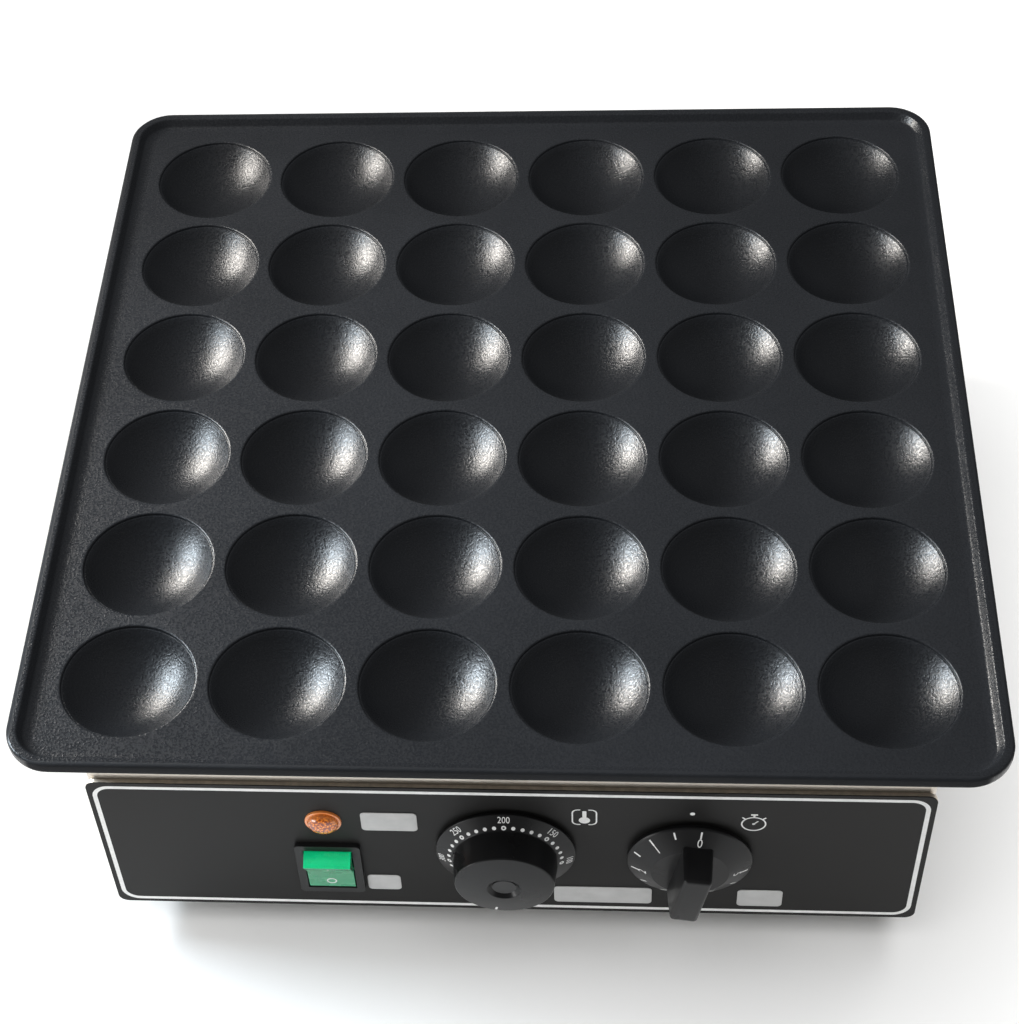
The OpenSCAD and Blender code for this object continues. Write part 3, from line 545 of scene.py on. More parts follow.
def panel_finish():
    """Satin black paint with a faint orange peel on the panel's face, and bare metal at its cut edges."""
    made = Finish("panel_paint", Specular_IOR_Level=0.12)
    paint = (0.0115, 0.0112, 0.0109)
    # The bare edge's warm tint, like the casing's, is a painted reflection of brown surroundings
    bare = (0.7, 0.63, 0.54)
    cloud = made.noise(11, 3)
    cut = made.between(made.split()["Y"], 0, 1, PANEL_FACE + 0.35 * MM, PANEL_FACE + 0.45 * MM)
    face = made.colours(cloud, *tones(paint, 0.85, 1.25))
    edge = made.colours(made.noise(400), *tones(bare, 0.85, 1.1))
    peel = made.raised(made.noise(700, 2), 0.015 * MM, 0.35)
    gloss = made.between(cloud, 0.42, 0.5)
    made.feed(Base_Color=made.mixed(cut, face, edge), Metallic=cut, Roughness=gloss, Normal=peel)


def clouded_finish(name, cloud, stops, gloss, grain=None, **sockets):
    """A finish of cloudy colour and gloss.

    The cloud has (features to the metre, detail) and the fine grain, if any, a depth and a strength as well.
    """
    made = Finish(name, **sockets)
    pattern = made.noise(*cloud)
    made.feed(Base_Color=made.colours(pattern, *stops), Roughness=made.between(pattern, *gloss))
    if grain:
        per_metre, detail, depth, strength = grain
        made.feed(Normal=made.raised(made.noise(per_metre, detail), depth, strength))


def plastic_finish(name, base, gloss=(0.3, 0.4), per_metre=1600, depth=0.012 * MM):
    """Moulded plastic with a fine spark-eroded grain."""
    grain = (per_metre, 2, depth, 0.4)
    clouded_finish(name, (45, 3), tones(base, 0.85, 1.2), gloss, grain, Specular_IOR_Level=0.23)


def soft_metal_finish(name, base):
    """Drawn brass or copper, slightly tarnished."""
    stops = tones(base, 0.65, 1.0, 0.3, 0.65)
    clouded_finish(name, (70, 4), stops, (0.25, 0.45), (800, 3, 0.01 * MM, 0.3), Metallic=1.0)


def plain_finishes(prints, floor):
    """Ink, label film, floor, dusty rubber, heat-tinted sheath and glazed ceramic."""
    clouded_finish("white_ink", (420, 3), tones(prints.ink, 0.9, 1.05), (0.42, 0.6))
    film = tones(prints.label, 0.92, 1.08)
    clouded_finish("label_film", (150, 3), film, (0.38, 0.55), (1300, 2, 0.01 * MM, 0.25))
    clouded_finish("pale_floor", (2, 2), tones(floor, 0.99, 1.01), (0.75, 0.85))
    rubber = ((0.35, (0.013, 0.013, 0.0135)), (0.8, (0.035, 0.034, 0.032)))
    clouded_finish("foot_rubber", (120, 5), rubber, (0.62, 0.85), (1500, 2, 0.03 * MM, 0.4))
    tint = ((0.3, (0.16, 0.15, 0.15)), (0.5, (0.25, 0.2, 0.15)), (0.7, (0.13, 0.14, 0.18)))
    clouded_finish("heater_sheath", (35, 4), tint, (0.4, 0.6), (900, 3, 0.01 * MM, 0.4), Metallic=1.0)
    glaze = ((0.3, (0.6, 0.56, 0.47)), (0.6, (0.78, 0.74, 0.66)))
    clouded_finish("cream_ceramic", (600, 3), glaze, (0.25, 0.45), Coat_Weight=0.3)


def amber_finish():
    """Amber lens: stippled orange in the middle, whose bright and dark flecks are partly painted sparkle, and
    painted paler towards its edge as a reflection of the pale floor.
    """
    made = Finish("amber_lens", Coat_Weight=0.7, Coat_Roughness=0.05, IOR=1.49)
    flat = made.mapped(Location=(-LENS_MIDDLE.x, 0, -LENS_MIDDLE.z), Scale=(1, 0, 1))
    span = made.node("ShaderNodeVectorMath", {0: flat})
    span.operation = "LENGTH"
    outwards = made.between(span.outputs["Value"], 0, 1, 4.6 * MM, 6.6 * MM)
    # The flecks stand for the lens's inner facets, with their sparkle painted into the colour
    flecks = ((0.14, (1.0, 0.34, 0.03)), (0.4, (0.72, 0.17, 0.012)), (0.66, (0.2, 0.03, 0.003)))
    stipple = made.colours(made.grains(1150), *flecks)
    cloud = made.noise(300)
    # The paler amber towards the edge is a painted reflection of the pale floor
    edge = made.colours(cloud, (0.3, (0.72, 0.2, 0.04)), (0.7, (0.85, 0.31, 0.09)))
    made.feed(Base_Color=made.mixed(outwards, stipple, edge), Roughness=made.between(cloud, 0.12, 0.25))


def green_finish():
    """Clear green plastic of the rocker in a lit and a shaded copy: its upper end painted bright as if lit
    from above, its front painted darker and greyer as painted shade and reflection.
    """
    made = Finish("green_plastic", Coat_Weight=0.2, Coat_Roughness=0.08, Subsurface_Weight=0.15, IOR=1.4)
    made.shader.inputs["Subsurface Radius"].default_value = (0.3 * MM, 1.6 * MM, 0.7 * MM)
    ridge = JOINT_AT["switch_rocker_tilt"].z + 10.3 * MM
    cloud = made.noise(90, 3)
    # Painted light: above the ridge the end takes a bright lit green, below it the front a darker, greyer
    # shaded green
    upper = made.between(made.split()["Z"], 0, 1, ridge - 0.1 * MM, ridge + 0.1 * MM)
    front = made.colours(cloud, (0.3, (0.03, 0.255, 0.125)), (0.7, (0.036, 0.3, 0.146)))
    end = made.colours(cloud, (0.3, (0.004, 0.74, 0.29)), (0.7, (0.006, 0.84, 0.34)))
    made.feed(Base_Color=made.mixed(upper, front, end), Roughness=made.between(cloud, 0.2, 0.32))


def fibre_finish():
    """Mineral fibre mat."""
    made = Finish("mineral_fibre")
    strands = made.noise(500, 6, made.mapped(Scale=(1, 3, 6)), 0.7)
    tone = made.colours(strands, (0.25, (0.42, 0.38, 0.28)), (0.75, (0.78, 0.74, 0.62)))
    gloss = made.between(strands, 0.85, 1.0)
    made.feed(Base_Color=tone, Roughness=gloss, Normal=made.raised(strands, 0.6 * MM, 0.8))


# Which finish each solid takes
NODE_FINISHES = {
    "non_stick_coating": ["baking_plate"],
    "brushed_steel": ["casing"],
    "zinc_plate": [
        "base_plate", "heat_shield", "clamp_bar_left", "clamp_bar_right", "bulb_clip", "clamp_studs",
        "clamp_nuts", "shield_nuts", "plate_studs", "plate_nuts", "foot_screws", "foot_nuts", "base_screws",
        "panel_nuts", "lamp_clip", "thermostat_screws", "thermostat_shaft", "thermostat_knob_clip",
        "bulb_clip_screws", "timer_bell", "timer_screws", "timer_shaft", "timer_knob_clip", "earth_nut",
    ],
    "panel_paint": ["control_panel"],
    "mineral_fibre": ["insulation_blanket"],
    "heater_sheath": ["heater_front", "heater_middle", "heater_rear"],
    "cream_ceramic": ["heater_insulators"],
    "foot_rubber": ["foot_front_left", "foot_front_right", "foot_rear_left", "foot_rear_right"],
    "amber_lens": ["lamp_lens"],
    "black_plastic": ["lamp_body", "switch_housing", "cable_gland", "gland_nut"],
    "green_plastic": ["switch_rocker"],
    "knob_plastic": ["thermostat_knob", "timer_knob"],
    "cap_plastic": ["thermostat_knob_cap"],
    "brass": ["heater_terminals", "switch_terminals", "terminal_screws", "earth_screw"],
    "copper": ["thermostat_bulb", "thermostat_capillary"],
    "dark_thermoset": ["thermostat_body", "timer_body", "terminal_block"],
}


class PANCAKE_OT_finishes(Operator):
    """Make the finishes and put them on the solids"""
    bl_idname = "pancake.finishes"
    bl_label = "Finishes"

    def execute(self, context):
        scene = context.scene
        coating_finish(scene.pancake_plate)
        steel_finish()
        zinc_finish()
        panel_finish()
        plastic_finish("knob_plastic", scene.pancake_knobs.plastic, (0.26, 0.34), 1300, 0.03 * MM)
        plastic_finish("black_plastic", (0.009, 0.009, 0.0093))
        plastic_finish("cap_plastic", (0.024, 0.024, 0.0245), (0.38, 0.5))
        plastic_finish("dark_thermoset", (0.035, 0.026, 0.02), (0.45, 0.6))
        soft_metal_finish("brass", (0.72, 0.52, 0.22))
        soft_metal_finish("copper", (0.72, 0.36, 0.22))
        amber_finish()
        green_finish()
        fibre_finish()
        plain_finishes(scene.pancake_prints, scene.pancake_stage.floor)
        for finish, nodes in NODE_FINISHES.items():
            for node in nodes:
                dress(frame["nodes"][node], finish)
        return {"FINISHED"}


# Baking plate

def well_outline(plate):
    """Half section of a well from the cooking surface down, as (radius, height)."""
    ledge = plate.well_radius - plate.lip_width
    arc_depth = plate.well_depth - plate.lip_depth
    ball = (ledge ** 2 + arc_depth ** 2) / (2 * arc_depth)
    brow = 0.7 * MM
    lip = rounded([
        (plate.well_radius + 2 * brow, 0, 0),
        (plate.well_radius, 0, brow),
        (plate.well_radius - 0.05 * MM, -plate.lip_depth, 0.25 * MM),
        (ledge, -plate.lip_depth, 0),
    ], steps=5)
    steps = 13
    widest = math.asin(ledge / ball)
    dish = []
    for step in range(1, steps):
        slope = widest * (1 - step / steps)
        dish.append(Vector((ball * math.sin(slope), ball - ball * math.cos(slope) - plate.well_depth)))
    return lip + dish


def model_wells(plate):
    """The field of wells, with its square edge at the cooking surface."""
    side_parts = 12
    outline = well_outline(plate)
    draw_ring(outline, 4 * side_parts)
    field = bpy.context.active_object
    extrude(-plate.well_depth - outline[-1].y)
    bpy.ops.mesh.merge(type="CENTER")
    bpy.ops.mesh.select_all(action="DESELECT")
    bpy.ops.mesh.primitive_plane_add(size=plate.well_pitch)
    bpy.ops.mesh.delete(type="ONLY_FACE")
    square = plate.well_pitch / 2 - NEAR
    select_where("EDGE", lambda edge: all(max(abs(v.co.x), abs(v.co.y)) > square for v in edge.verts))
    bpy.ops.mesh.subdivide(number_cuts=side_parts - 1)
    mouth = outline[0].x - NEAR
    select_where("EDGE", lambda edge: all(v.co.xy.length > mouth for v in edge.verts))
    bpy.ops.mesh.bridge_edge_loops()
    bpy.ops.object.mode_set(mode="OBJECT")
    for offset in ((plate.well_pitch, 0, 0), (0, plate.well_pitch, 0)):
        apply_modifier(
            field, "ARRAY", count=plate.well_count, use_relative_offset=False, use_constant_offset=True,
            constant_offset_displace=offset, use_merge_vertices=True, merge_threshold=NEAR,
        )
    reach = (plate.well_count - 1) / 2 * plate.well_pitch
    settle(field, Matrix.Translation((-reach, -reach, 0)))
    return field


def model_rim(plate):
    """The plate's edge: round corners, slanted underside and raised rim, open where the wells go."""
    size = PLATE_HIGH.x - PLATE_LOW.x
    edge_low = PLATE_LOW.z + plate.under_rise - cooking_height(plate)
    start_sheet(size, size, plate.corner_radius, segments=14)
    rim = bpy.context.active_object
    bpy.ops.transform.translate(value=(0, 0, edge_low))
    rim_profile = rounded([
        (0, edge_low, 0),
        (0, plate.rim_height, 1.1 * MM),
        (3.7 * MM, plate.rim_height, 1.0 * MM),
        (5.6 * MM, 0.4 * MM, 1.6 * MM),
        (8.6 * MM, 0, 0),
    ], steps=5)
    extrude(rim_profile[1].y - edge_low)
    for before, after in zip(rim_profile[1:], rim_profile[2:]):
        inset(after.x - before.x, after.y - before.y)
    cut_hollow(0.4 * MM)
    bpy.ops.mesh.select_all(action="SELECT")
    bpy.ops.mesh.normals_make_consistent()
    underside = edge_low + 0.1 * MM
    select_where("FACE", lambda face: abs(face.normal.z) > 0.99 and face.calc_center_median().z < underside)
    inset(plate.under_run, plate.under_rise)
    select_where("EDGE", lambda edge: all(abs(v.co.z - edge_low) < NEAR for v in edge.verts))
    bpy.ops.mesh.bevel(offset=1.2 * MM, segments=4, affect="EDGES")
    bpy.ops.object.mode_set(mode="OBJECT")
    return rim


class PANCAKE_OT_baking_plate(Operator):
    """Model the cast baking plate with its dished wells and raised rim"""
    bl_idname = "pancake.baking_plate"
    bl_label = "Baking plate"

    def execute(self, context):
        plate = context.scene.pancake_plate
        body = join([model_wells(plate), model_rim(plate)], "cast_plate")
        bpy.ops.object.mode_set(mode="EDIT")
        bpy.ops.mesh.select_mode(type="EDGE")
        bpy.ops.mesh.select_all(action="DESELECT")
        bpy.ops.mesh.select_non_manifold(extend=False, use_wire=False, use_multi_face=False, use_verts=False)
        bpy.ops.mesh.fill()
        close_up(body.name)
        settle(body, Matrix.Translation((PLATE_MIDDLE.x, PLATE_MIDDLE.y, cooking_height(plate))))
        smooth(body, 40)
        finish_piece(body, "non_stick_coating", "machine", "coated_aluminium", "baking_plate")
        return {"FINISHED"}


# Knobs

def dial_place(angle, radius, height, tilt):
    """A place on a dial: an angle in degrees clockwise from the top, y outwards, tilted back down a cone."""
    return (
        Matrix.Rotation(math.radians(-angle), 4, "Z")
        @ Matrix.Translation((0, radius, height))
        @ Matrix.Rotation(-tilt, 4, "X")
    )


class PANCAKE_OT_thermostat_knob(Operator):
    """Model the thermostat's skirted knob with its numbers and dots"""
    bl_idname = "pancake.thermostat_knob"
    bl_label = "Thermostat knob"

    def execute(self, context):
        knob = context.scene.pancake_knobs
        middle = JOINT_AT["thermostat_knob_turn"]
        place = on_panel(middle.x, middle.z)
        skirt_edge = knob.gap + 1.0 * MM
        skirt_top = knob.gap + 4.3 * MM
        grip_foot = knob.grip_radius + 1.3 * MM
        face_edge = knob.grip_reach - 1.8 * MM
        recess = 6.5 * MM
        recess_foot = 5.0 * MM
        floor = knob.grip_reach - 1.6 * MM
        ceiling = floor - 2.0 * MM
        bore_top = floor - 3.4 * MM
        hub = 6 * MM
        hollow = knob.grip_radius - 2.2 * MM
        outline = rounded([
            (BORE, bore_top, 0),
            (BORE, knob.gap, 0),
            (hub, knob.gap, 0),
            (hub, ceiling, 0),
            (hollow, ceiling, 0.8 * MM),
            (hollow, knob.gap, 0),
            (knob.skirt_radius, knob.gap, 0.3 * MM),
            (knob.skirt_radius, skirt_edge, 0.45 * MM),
            (grip_foot, skirt_top, 0.8 * MM),
            (knob.grip_radius, face_edge, 0.8 * MM),
            (recess, knob.grip_reach, 0.35 * MM),
            (recess_foot, floor, 0.3 * MM),
            (recess_foot - 1.0 * MM, floor, 0),
        ], steps=4)
        grip = turned("thermostat_grip", outline, 128)
        smooth(grip, 40)
        settle(grip, place)
        finish_piece(grip, "knob_plastic", "thermostat_dial", "knob_plastic", "thermostat_knob")
        slope = math.atan2(skirt_top - skirt_edge, knob.skirt_radius - grip_foot)

        def on_cone(radius):
            """Height of the skirt's cone at a radius."""
            return skirt_top - (radius - grip_foot) * math.tan(slope)

        marks = []
        dot_radius = 21.4 * MM
        dot_step = 9.6
        for index in range(-12, 11):
            spot = dial_place(index * dot_step, dot_radius, on_cone(dot_radius), slope)
            if index % 5:
                marks.append(dot(0.78 * MM, spot, 16))
            else:
                marks.append(ring(0.95 * MM, 0.55 * MM, spot, 24))
        number_radius = 24.3 * MM
        zero_angle = 192
        angles = {"300": -96, "250": -48, "200": 0, "150": 48, "100": 96, "0": zero_angle}
        for words, angle in angles.items():
            spot = dial_place(angle, number_radius, on_cone(number_radius), slope)
            marks.append(number(words, knob.number_height, spot, narrow=0.82))
        fall = (knob.grip_reach - face_edge) / (knob.grip_radius - recess)
        pointer_radius = knob.grip_radius - 2.2 * MM
        pointer_height = knob.grip_reach - (pointer_radius - recess) * fall
        pointer = dial_place(zero_angle, pointer_radius, pointer_height, math.atan(fall))
        marks.append(strip(0.9 * MM, 2.2 * MM, pointer, 0.3 * MM))
        finish_print(marks, "thermostat_numbers", place, "thermostat_dial")
        return {"FINISHED"}


def model_bar(knob, low):
    """The timer knob's bar: a block drawn in towards its front, with round edges."""
    foot_width, foot_length = 11.9 * MM, 33.5 * MM
    front_width, front_length = 10.5 * MM, 28.5 * MM
    height = knob.bar_reach - low
    deselect_all()
    bpy.ops.mesh.primitive_cube_add(size=1, enter_editmode=True)
    scale_selected(foot_width, foot_length, height)
    bpy.ops.transform.translate(value=(0, 0, low + height / 2))
    select_where("FACE", lambda face: face.normal.z > 0.9)
    scale_selected(front_width / foot_width, front_length / foot_length, 1.0, (0, 0, knob.bar_reach))
    select_where("EDGE", lambda edge: any(v.co.z > low + height / 2 for v in edge.verts))
    bpy.ops.mesh.bevel(offset=1.5 * MM, segments=5, affect="EDGES")
    return close_up("timer_bar")


class PANCAKE_OT_timer_knob(Operator):
    """Model the timer's disc knob with its bar, ticks and numbers"""
    bl_idname = "pancake.timer_knob"
    bl_label = "Timer knob"

    def execute(self, context):
        knob = context.scene.pancake_knobs
        middle = JOINT_AT["timer_knob_turn"]
        rest_turn = 10.0
        place = on_panel(middle.x, middle.z)
        disc_top = knob.gap + 1.8 * MM
        disc_edge = knob.disc_radius - 0.6 * MM
        boss = 14.6 * MM
        boss_top = disc_top + 4.8 * MM
        bore_top = knob.bar_reach - 7 * MM
        outline = rounded([
            (BORE, bore_top, 0),
            (BORE, knob.gap, 0),
            (knob.disc_radius, knob.gap, 0.3 * MM),
            (knob.disc_radius, disc_top - 0.5 * MM, 0.3 * MM),
            (disc_edge, disc_top, 0.4 * MM),
            (boss, boss_top, 0.4 * MM),
            (BORE + 1.5 * MM, boss_top, 0),
            (BORE + 1.4 * MM, bore_top + 1.0 * MM, 0),
            (BORE, bore_top + 1.0 * MM, 0),
        ], steps=4)
        disc = turned("timer_grip", outline, 128)
        bar = model_bar(knob, disc_top)
        settle(bar, Matrix.Rotation(math.radians(-rest_turn), 4, "Z"))
        apply_modifier(disc, "BOOLEAN", operation="UNION", solver="EXACT", object=bar)
        bpy.data.objects.remove(bar)
        smooth(disc, 38)
        settle(disc, place)
        finish_piece(disc, "knob_plastic", "timer_dial", "knob_plastic", "timer_knob")
        slope = math.atan2(boss_top - disc_top, disc_edge - boss)

        def on_disc(radius):
            """Height of the disc's cone at a radius."""
            return disc_top + (disc_edge - radius) * math.tan(slope)

        marks = []
        tick_step = 27.0
        tick_radius = 20.9 * MM
        number_radius = 17.9 * MM
        number_height = 5.0 * MM
        for index in range(11):
            angle = rest_turn - index * tick_step
            spot = dial_place(angle, tick_radius, on_disc(tick_radius), slope)
            marks.append(strip(0.65 * MM, 2.9 * MM, spot))
            if index % 2 == 0:
                spot = dial_place(angle, number_radius, on_disc(number_radius), slope)
                marks.append(number(str(index // 2), number_height, spot, narrow=0.85))
        finish_print(marks, "timer_numbers", place, "timer_dial")
        return {"FINISHED"}


# Panel, switch and lamp

def dressed_copy(node, name, body, slot, width, segments=3, finish=None, shape=None):
    """A copy that stands for a solid: its facets are merged, it is worked on and its edges are rounded.

    Without a finish it takes the one that has its slot's name.
    """
    piece = frame["nodes"][node].copy()
    piece.data = frame["nodes"][node].data.copy()
    piece.name = name
    piece.data.name = name
    for key in list(piece.keys()):
        if key.startswith("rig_"):
            del piece[key]
    piece.parent = None
    bpy.context.collection.objects.link(piece)
    pick(piece)
    bpy.ops.object.mode_set(mode="EDIT")
    bpy.ops.mesh.select_all(action="SELECT")
    bpy.ops.mesh.customdata_custom_splitnormals_clear()
    bpy.ops.mesh.remove_doubles(threshold=0.001 * MM)
    bpy.ops.mesh.dissolve_limited(angle_limit=math.radians(0.3))
    if shape:
        shape()
    bpy.ops.object.mode_set(mode="OBJECT")
    soften(piece, width, segments, 32)
    smooth(piece, 32)
    apply_modifier(piece, "WEIGHTED_NORMAL", keep_sharp=True)
    finish_piece(piece, finish or slot, body, slot, node)


class PANCAKE_OT_panel_prints(Operator):
    """Print the border line, the bare labels, the dot and the two pictograms on the panel"""
    bl_idname = "pancake.panel_prints"
    bl_label = "Panel prints"

    # Width of the pictograms' lines
    LINE = 0.55 * MM
    # Places right and up of the panel's middle
    THERMOMETER = (29.4 * MM, 25.3 * MM)
    STOPWATCH = (91.8 * MM, 23.6 * MM)
    TIMER_DOT = (69.2 * MM, 28.9 * MM)
    # The same for the bare labels, with their width and height, all in millimetres
    LABELS = (
        (-44.0, 19.9, 21.3, 12.2),
        (-48.7, -23.9, 13.0, 10.5),
        (36.4, -30.1, 37.9, 11.4),
        (96.9, -30.1, 17.3, 11.7),
    )

    def border(self, prints):
        """The border line."""
        width = PANEL_HIGH.x - PANEL_LOW.x - 2 * prints.line_inset
        height = PANEL_HIGH.z - PANEL_LOW.z - 2 * prints.line_inset
        start_sheet(width, height, prints.line_radius, segments=12)
        cut_hollow(prints.line_width)
        return thicken("border", INK)

    def thermometer(self):
        """A thermometer in a round-cornered square that is open above and below."""
        start_sheet(9.5 * MM, 10.5 * MM, 2.4 * MM, segments=6)
        cut_hollow(self.LINE)
        gap = 1.5 * MM
        for x in (-gap, gap):
            bpy.ops.mesh.select_all(action="SELECT")
            bpy.ops.mesh.bisect(plane_co=(x, 0, 0), plane_no=(1, 0, 0))
        select_where("FACE", lambda face: abs(face.calc_center_median().x) < gap)
        bpy.ops.mesh.delete(type="FACE")
        square = thicken("square", INK)
        tube = strip(1.5 * MM, 4.2 * MM, at(0, 2.05 * MM), 0.3 * MM)
        bulb = dot(2.1 * MM, at(0, -2.1 * MM), 32)
        return join([square, tube, bulb], "thermometer")

    def stopwatch(self):
        """A stopwatch with its crown, two buttons and a hand."""
        radius = 4.65 * MM
        middle = -0.8 * MM
        marks = [ring(radius, self.LINE, at(0, middle), 40)]
        marks.append(strip(0.8 * MM, 1.5 * MM, at(0, radius - 0.3 * MM)))
        marks.append(strip(2.6 * MM, 0.9 * MM, at(0, radius + 0.75 * MM), 0.3 * MM))
        lean = 45
        aside = (radius + 0.7 * MM) * math.sin(math.radians(lean))
        rise = (radius + 0.7 * MM) * math.cos(math.radians(lean)) + middle
        for side in (-1, 1):
            marks.append(strip(1.5 * MM, 0.6 * MM, at(side * aside, rise, side * lean)))
        marks.append(strip(0.5 * MM, 2.6 * MM, at(0.75 * MM, 0.1 * MM, -38)))
        marks.append(dot(0.55 * MM, at(0, middle), 16))
        return join(marks, "stopwatch")

    def execute(self, context):
        prints = context.scene.pancake_prints
        flat = on_panel(PANEL_MIDDLE.x, PANEL_MIDDLE.z)
        thermometer = self.thermometer()
        settle(thermometer, at(*self.THERMOMETER))
        stopwatch = self.stopwatch()
        settle(stopwatch, at(*self.STOPWATCH))
        timer_dot = dot(0.95 * MM, at(*self.TIMER_DOT))
        marks = [self.border(prints), thermometer, stopwatch, timer_dot]
        finish_print(marks, "panel_print", flat, "machine")
        for index, (x, y, width, height) in enumerate(self.LABELS, 1):
            start_sheet(width * MM, height * MM, 1.8 * MM, segments=6)
            label = thicken(f"label_plate_{index}", 0.35 * MM)
            soften(label, 0.15 * MM, 3, 40)
            smooth(label, 40)
            settle(label, flat @ at(x * MM, y * MM))
            finish_piece(label, "label_film", "machine", "ceramic")
        return {"FINISHED"}


class PANCAKE_OT_switch(Operator):
    """Round the switch's frame and rocker, and mark the rocker"""
    bl_idname = "pancake.switch"
    bl_label = "Switch"

    def execute(self, context):
        dressed_copy("switch_housing", "switch_frame", "machine", "black_plastic", 0.5 * MM)
        pivot = JOINT_AT["switch_rocker_tilt"]

        def sink_end():
            """Sinks the face of the rocker's upper end a little."""
            low = pivot.z + 9 * MM
            select_where("FACE", lambda face: face.normal.z > 0.7 and face.calc_center_median().z > low)
            inset(1.3 * MM, -0.25 * MM)

        dressed_copy("switch_rocker", "rocker_cap", "rocker", "green_plastic", 0.4 * MM, shape=sink_end)
        rise = 5 * MM
        half = 12 * MM
        dish = math.radians(11)
        rest_tilt = math.radians(15)
        bottom = rise - half * math.tan(dish)
        tilted = on_panel(pivot.x, pivot.z) @ Matrix.Rotation(rest_tilt, 4, "X")
        off_place = Matrix.Translation((0, 0, bottom)) @ Matrix.Rotation(-dish, 4, "X")
        on_place = Matrix.Translation((0, 0, bottom)) @ Matrix.Rotation(dish, 4, "X")
        off_mark = ring(2.0 * MM, 0.5 * MM, off_place @ at(0, -7.4 * MM), 32)
        on_mark = strip(0.6 * MM, 2.6 * MM, on_place @ at(0, 8.2 * MM))
        finish_print([off_mark, on_mark], "rocker_signs", tilted, "rocker")
        return {"FINISHED"}


class PANCAKE_OT_lamp(Operator):
    """Model the pilot lamp's domed lens"""
    bl_idname = "pancake.lamp"
    bl_label = "Pilot lamp"

    def execute(self, context):
        radius = (LENS_HIGH.x - LENS_LOW.x) / 2
        neck = 5 * MM
        flange = 1.0 * MM
        reach = PANEL_FACE - LENS_LOW.y
        foot = radius - 1.0 * MM
        outline = rounded([
            (neck, PANEL_FACE - LENS_HIGH.y, 0),
            (neck, 0, 0),
            (radius, 0, 0),
            (radius, flange, 0.45 * MM),
            (foot, flange, 0),
        ], steps=4)
        steps = 12
        for step in range(1, steps):
            slope = math.pi / 2 * step / steps
            outline.append(Vector((foot * math.cos(slope), flange + (reach - flange) * math.sin(slope))))
        lens = turned("lamp_dome", outline, 48)
        smooth(lens, 50)
        settle(lens, on_panel(LENS_MIDDLE.x, LENS_MIDDLE.z))
        finish_piece(lens, "amber_lens", "machine", "amber_plastic", "lamp_lens")
        return {"FINISHED"}


class PANCAKE_OT_housing(Operator):
    """Round the edges of the control panel, cable gland, feet and knob disc"""
    bl_idname = "pancake.housing"
    bl_label = "Housing"

    def execute(self, context):
        paint = "panel_paint"
        dressed_copy("control_panel", "panel_plate", "machine", "panel_black", 0.35 * MM, finish=paint)
        dressed_copy("cable_gland", "cord_gland", "machine", "black_plastic", 0.6 * MM)
        dressed_copy("thermostat_knob_cap", "knob_disc", "thermostat_dial", "cap_plastic", 0.15 * MM)
        for corner in ("front_left", "front_right", "rear_left", "rear_right"):
            foot = f"foot_{corner}"
            dressed_copy(foot, f"rubber_{foot}", "machine", "foot_rubber", 1.2 * MM, segments=4)
        return {"FINISHED"}


# Stage

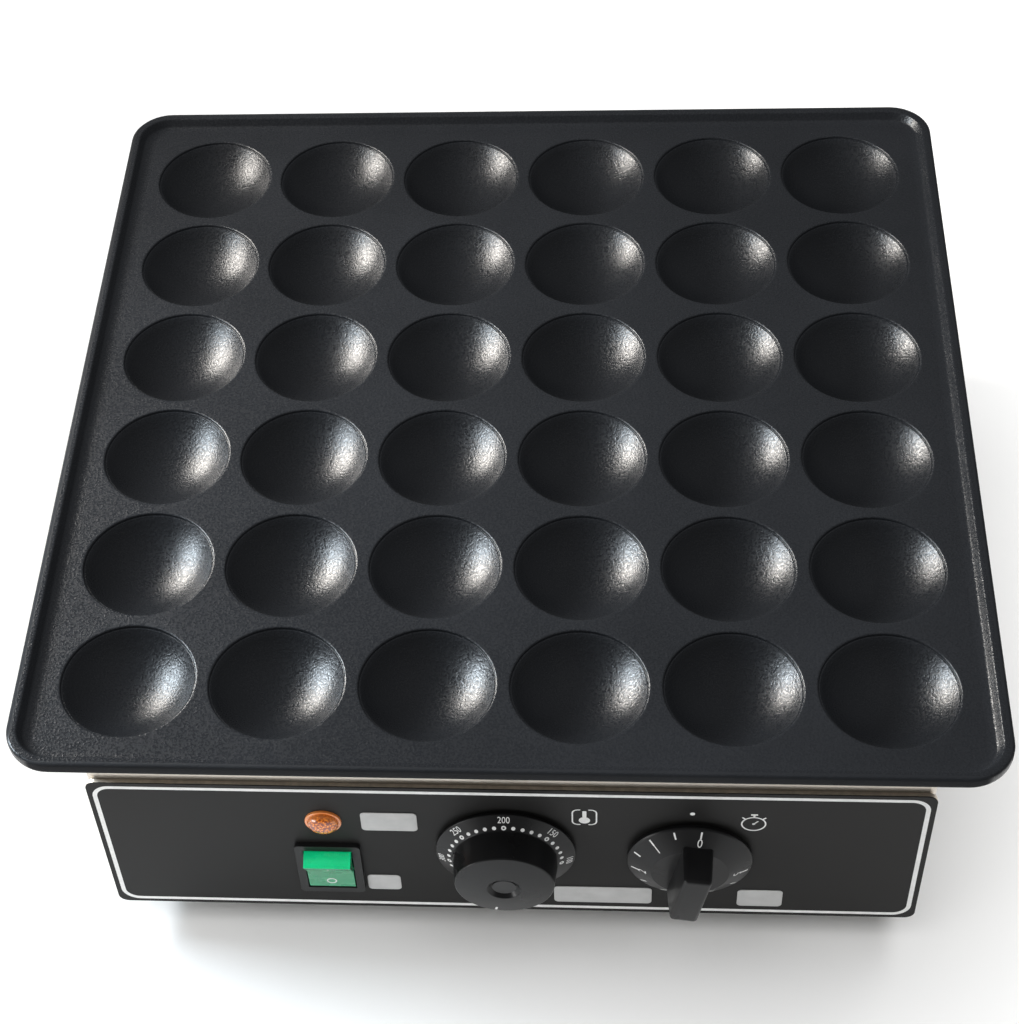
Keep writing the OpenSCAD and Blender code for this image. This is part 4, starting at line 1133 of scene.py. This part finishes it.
class PANCAKE_OT_stage(Operator):
    """Set up the floor, the lights and the camera"""
    bl_idname = "pancake.stage"
    bl_label = "Stage"

    def light(self, name, at_point, towards, size, watts, tint=(1, 1, 1), mirrored=True, spread=180):
        """A soft rectangular light with a spread in degrees, which glossy surfaces mirror or not."""
        deselect_all()
        bpy.ops.object.light_add(type="AREA", location=at_point)
        lamp = bpy.context.active_object
        lamp.name = name
        lamp.data.shape = "RECTANGLE"
        lamp.data.size, lamp.data.size_y = size
        lamp.data.energy = watts
        lamp.data.color = tint
        lamp.data.spread = math.radians(spread)
        way = Vector(towards) - Vector(at_point)
        lamp.rotation_euler = way.to_track_quat("-Z", "Y").to_euler()
        lamp.visible_camera = False
        lamp.visible_glossy = mirrored

    def camera(self, lens):
        """The photograph's viewpoint."""
        position = Vector((35.6, -606.75, 796.7)) * MM
        elevation = math.radians(49.25)
        bearing = math.radians(-8.15)
        roll = math.radians(-5.9)
        level = math.cos(elevation)
        ahead = Vector((math.sin(bearing) * level, math.cos(bearing) * level, -math.sin(elevation)))
        right = Vector((math.cos(bearing), -math.sin(bearing), 0))
        up = right.cross(ahead)
        across = right * math.cos(roll) + up * math.sin(roll)
        upward = up * math.cos(roll) - right * math.sin(roll)
        deselect_all()
        bpy.ops.object.camera_add()
        camera = bpy.context.active_object
        camera.name = "viewpoint"
        turn = Matrix((across, upward, -ahead)).transposed().to_4x4()
        camera.matrix_world = Matrix.Translation(position) @ turn
        camera.data.lens = lens
        camera.data.shift_x = 0.1108
        camera.data.shift_y = -0.0137
        camera.data.clip_start = 0.01
        camera.data.clip_end = 50
        bpy.context.scene.camera = camera

    def execute(self, context):
        stage = context.scene.pancake_stage
        floor_size, floor_corner, floor_depth = 9.0, 2.0, 0.02
        start_sheet(floor_size, floor_size, floor_corner, segments=16)
        floor = thicken("floor", -floor_depth)
        dress(floor, "pale_floor")
        # The window on the left has a cool front pane and a warm rear one
        pane = Vector((0.194, 0.152))
        middle = Vector((-0.429, 0.062, 0.341))
        along = Vector((0.296, 0.955, 0))
        facing = Vector((0.95, -0.295, -0.103))
        window_spread = 98
        for name, side, share, tint in (
            ("window_front", -0.5, 0.45, (0.8, 0.91, 1.0)), ("window_rear", 0.5, 0.55, (1.0, 0.95, 0.89)),
        ):
            place = middle + along * side * pane.x
            watts = stage.window_power * share
            self.light(name, place, place + facing, pane, watts, tint, spread=window_spread)
        self.light("ceiling", (0, 0, 2.2), (0, 0, 0), (3.0, 3.0), stage.ceiling_power, mirrored=False)
        self.light("side", (-0.62, -0.62, 0.09), (0, -0.16, 0.06), (0.4, 0.16), stage.side_power)
        world = bpy.data.worlds.new("studio")
        world.use_nodes = True
        sky = world.node_tree.nodes["Background"]
        sky.inputs["Color"].default_value = (1, 1, 1, 1)
        sky.inputs["Strength"].default_value = stage.sky
        context.scene.world = world
        context.scene.view_settings.view_transform = "Standard"
        self.camera(stage.lens)
        return {"FINISHED"}


class PANCAKE_PT_sidebar(Panel):
    """Lists the steps that make the pancake maker"""
    bl_idname = "PANCAKE_PT_sidebar"
    bl_label = "Mini pancake maker"
    bl_space_type = "VIEW_3D"
    bl_region_type = "UI"
    bl_category = "Pancake maker"

    def draw(self, context):
        for step in STEPS:
            self.layout.operator(step.bl_idname)
        for name in SETTINGS:
            group = getattr(context.scene, name)
            box = self.layout.box()
            for prop in group.bl_rna.properties:
                if prop.identifier not in {"rna_type", "name"}:
                    box.prop(group, prop.identifier)


STEPS = (
    PANCAKE_OT_finishes,
    PANCAKE_OT_baking_plate,
    PANCAKE_OT_thermostat_knob,
    PANCAKE_OT_timer_knob,
    PANCAKE_OT_panel_prints,
    PANCAKE_OT_switch,
    PANCAKE_OT_lamp,
    PANCAKE_OT_housing,
    PANCAKE_OT_stage,
)
SETTINGS = {
    "pancake_plate": PlateSettings,
    "pancake_prints": PrintSettings,
    "pancake_knobs": KnobSettings,
    "pancake_stage": StageSettings,
}
CLASSES = (*SETTINGS.values(), *STEPS, PANCAKE_PT_sidebar)


def register():
    """Registers the classes and the scene's settings."""
    for cls in CLASSES:
        bpy.utils.register_class(cls)
    for name, group in SETTINGS.items():
        setattr(bpy.types.Scene, name, PointerProperty(type=group))


def unregister():
    """Takes the settings and the classes away again."""
    for name in SETTINGS:
        delattr(bpy.types.Scene, name)
    for cls in reversed(CLASSES):
        bpy.utils.unregister_class(cls)


def main():
    """Makes the whole scene."""
    register()
    for step in STEPS:
        group, name = step.bl_idname.split(".")
        getattr(getattr(bpy.ops, group), name)()
    deselect_all()


if __name__ == "__main__":
    main()
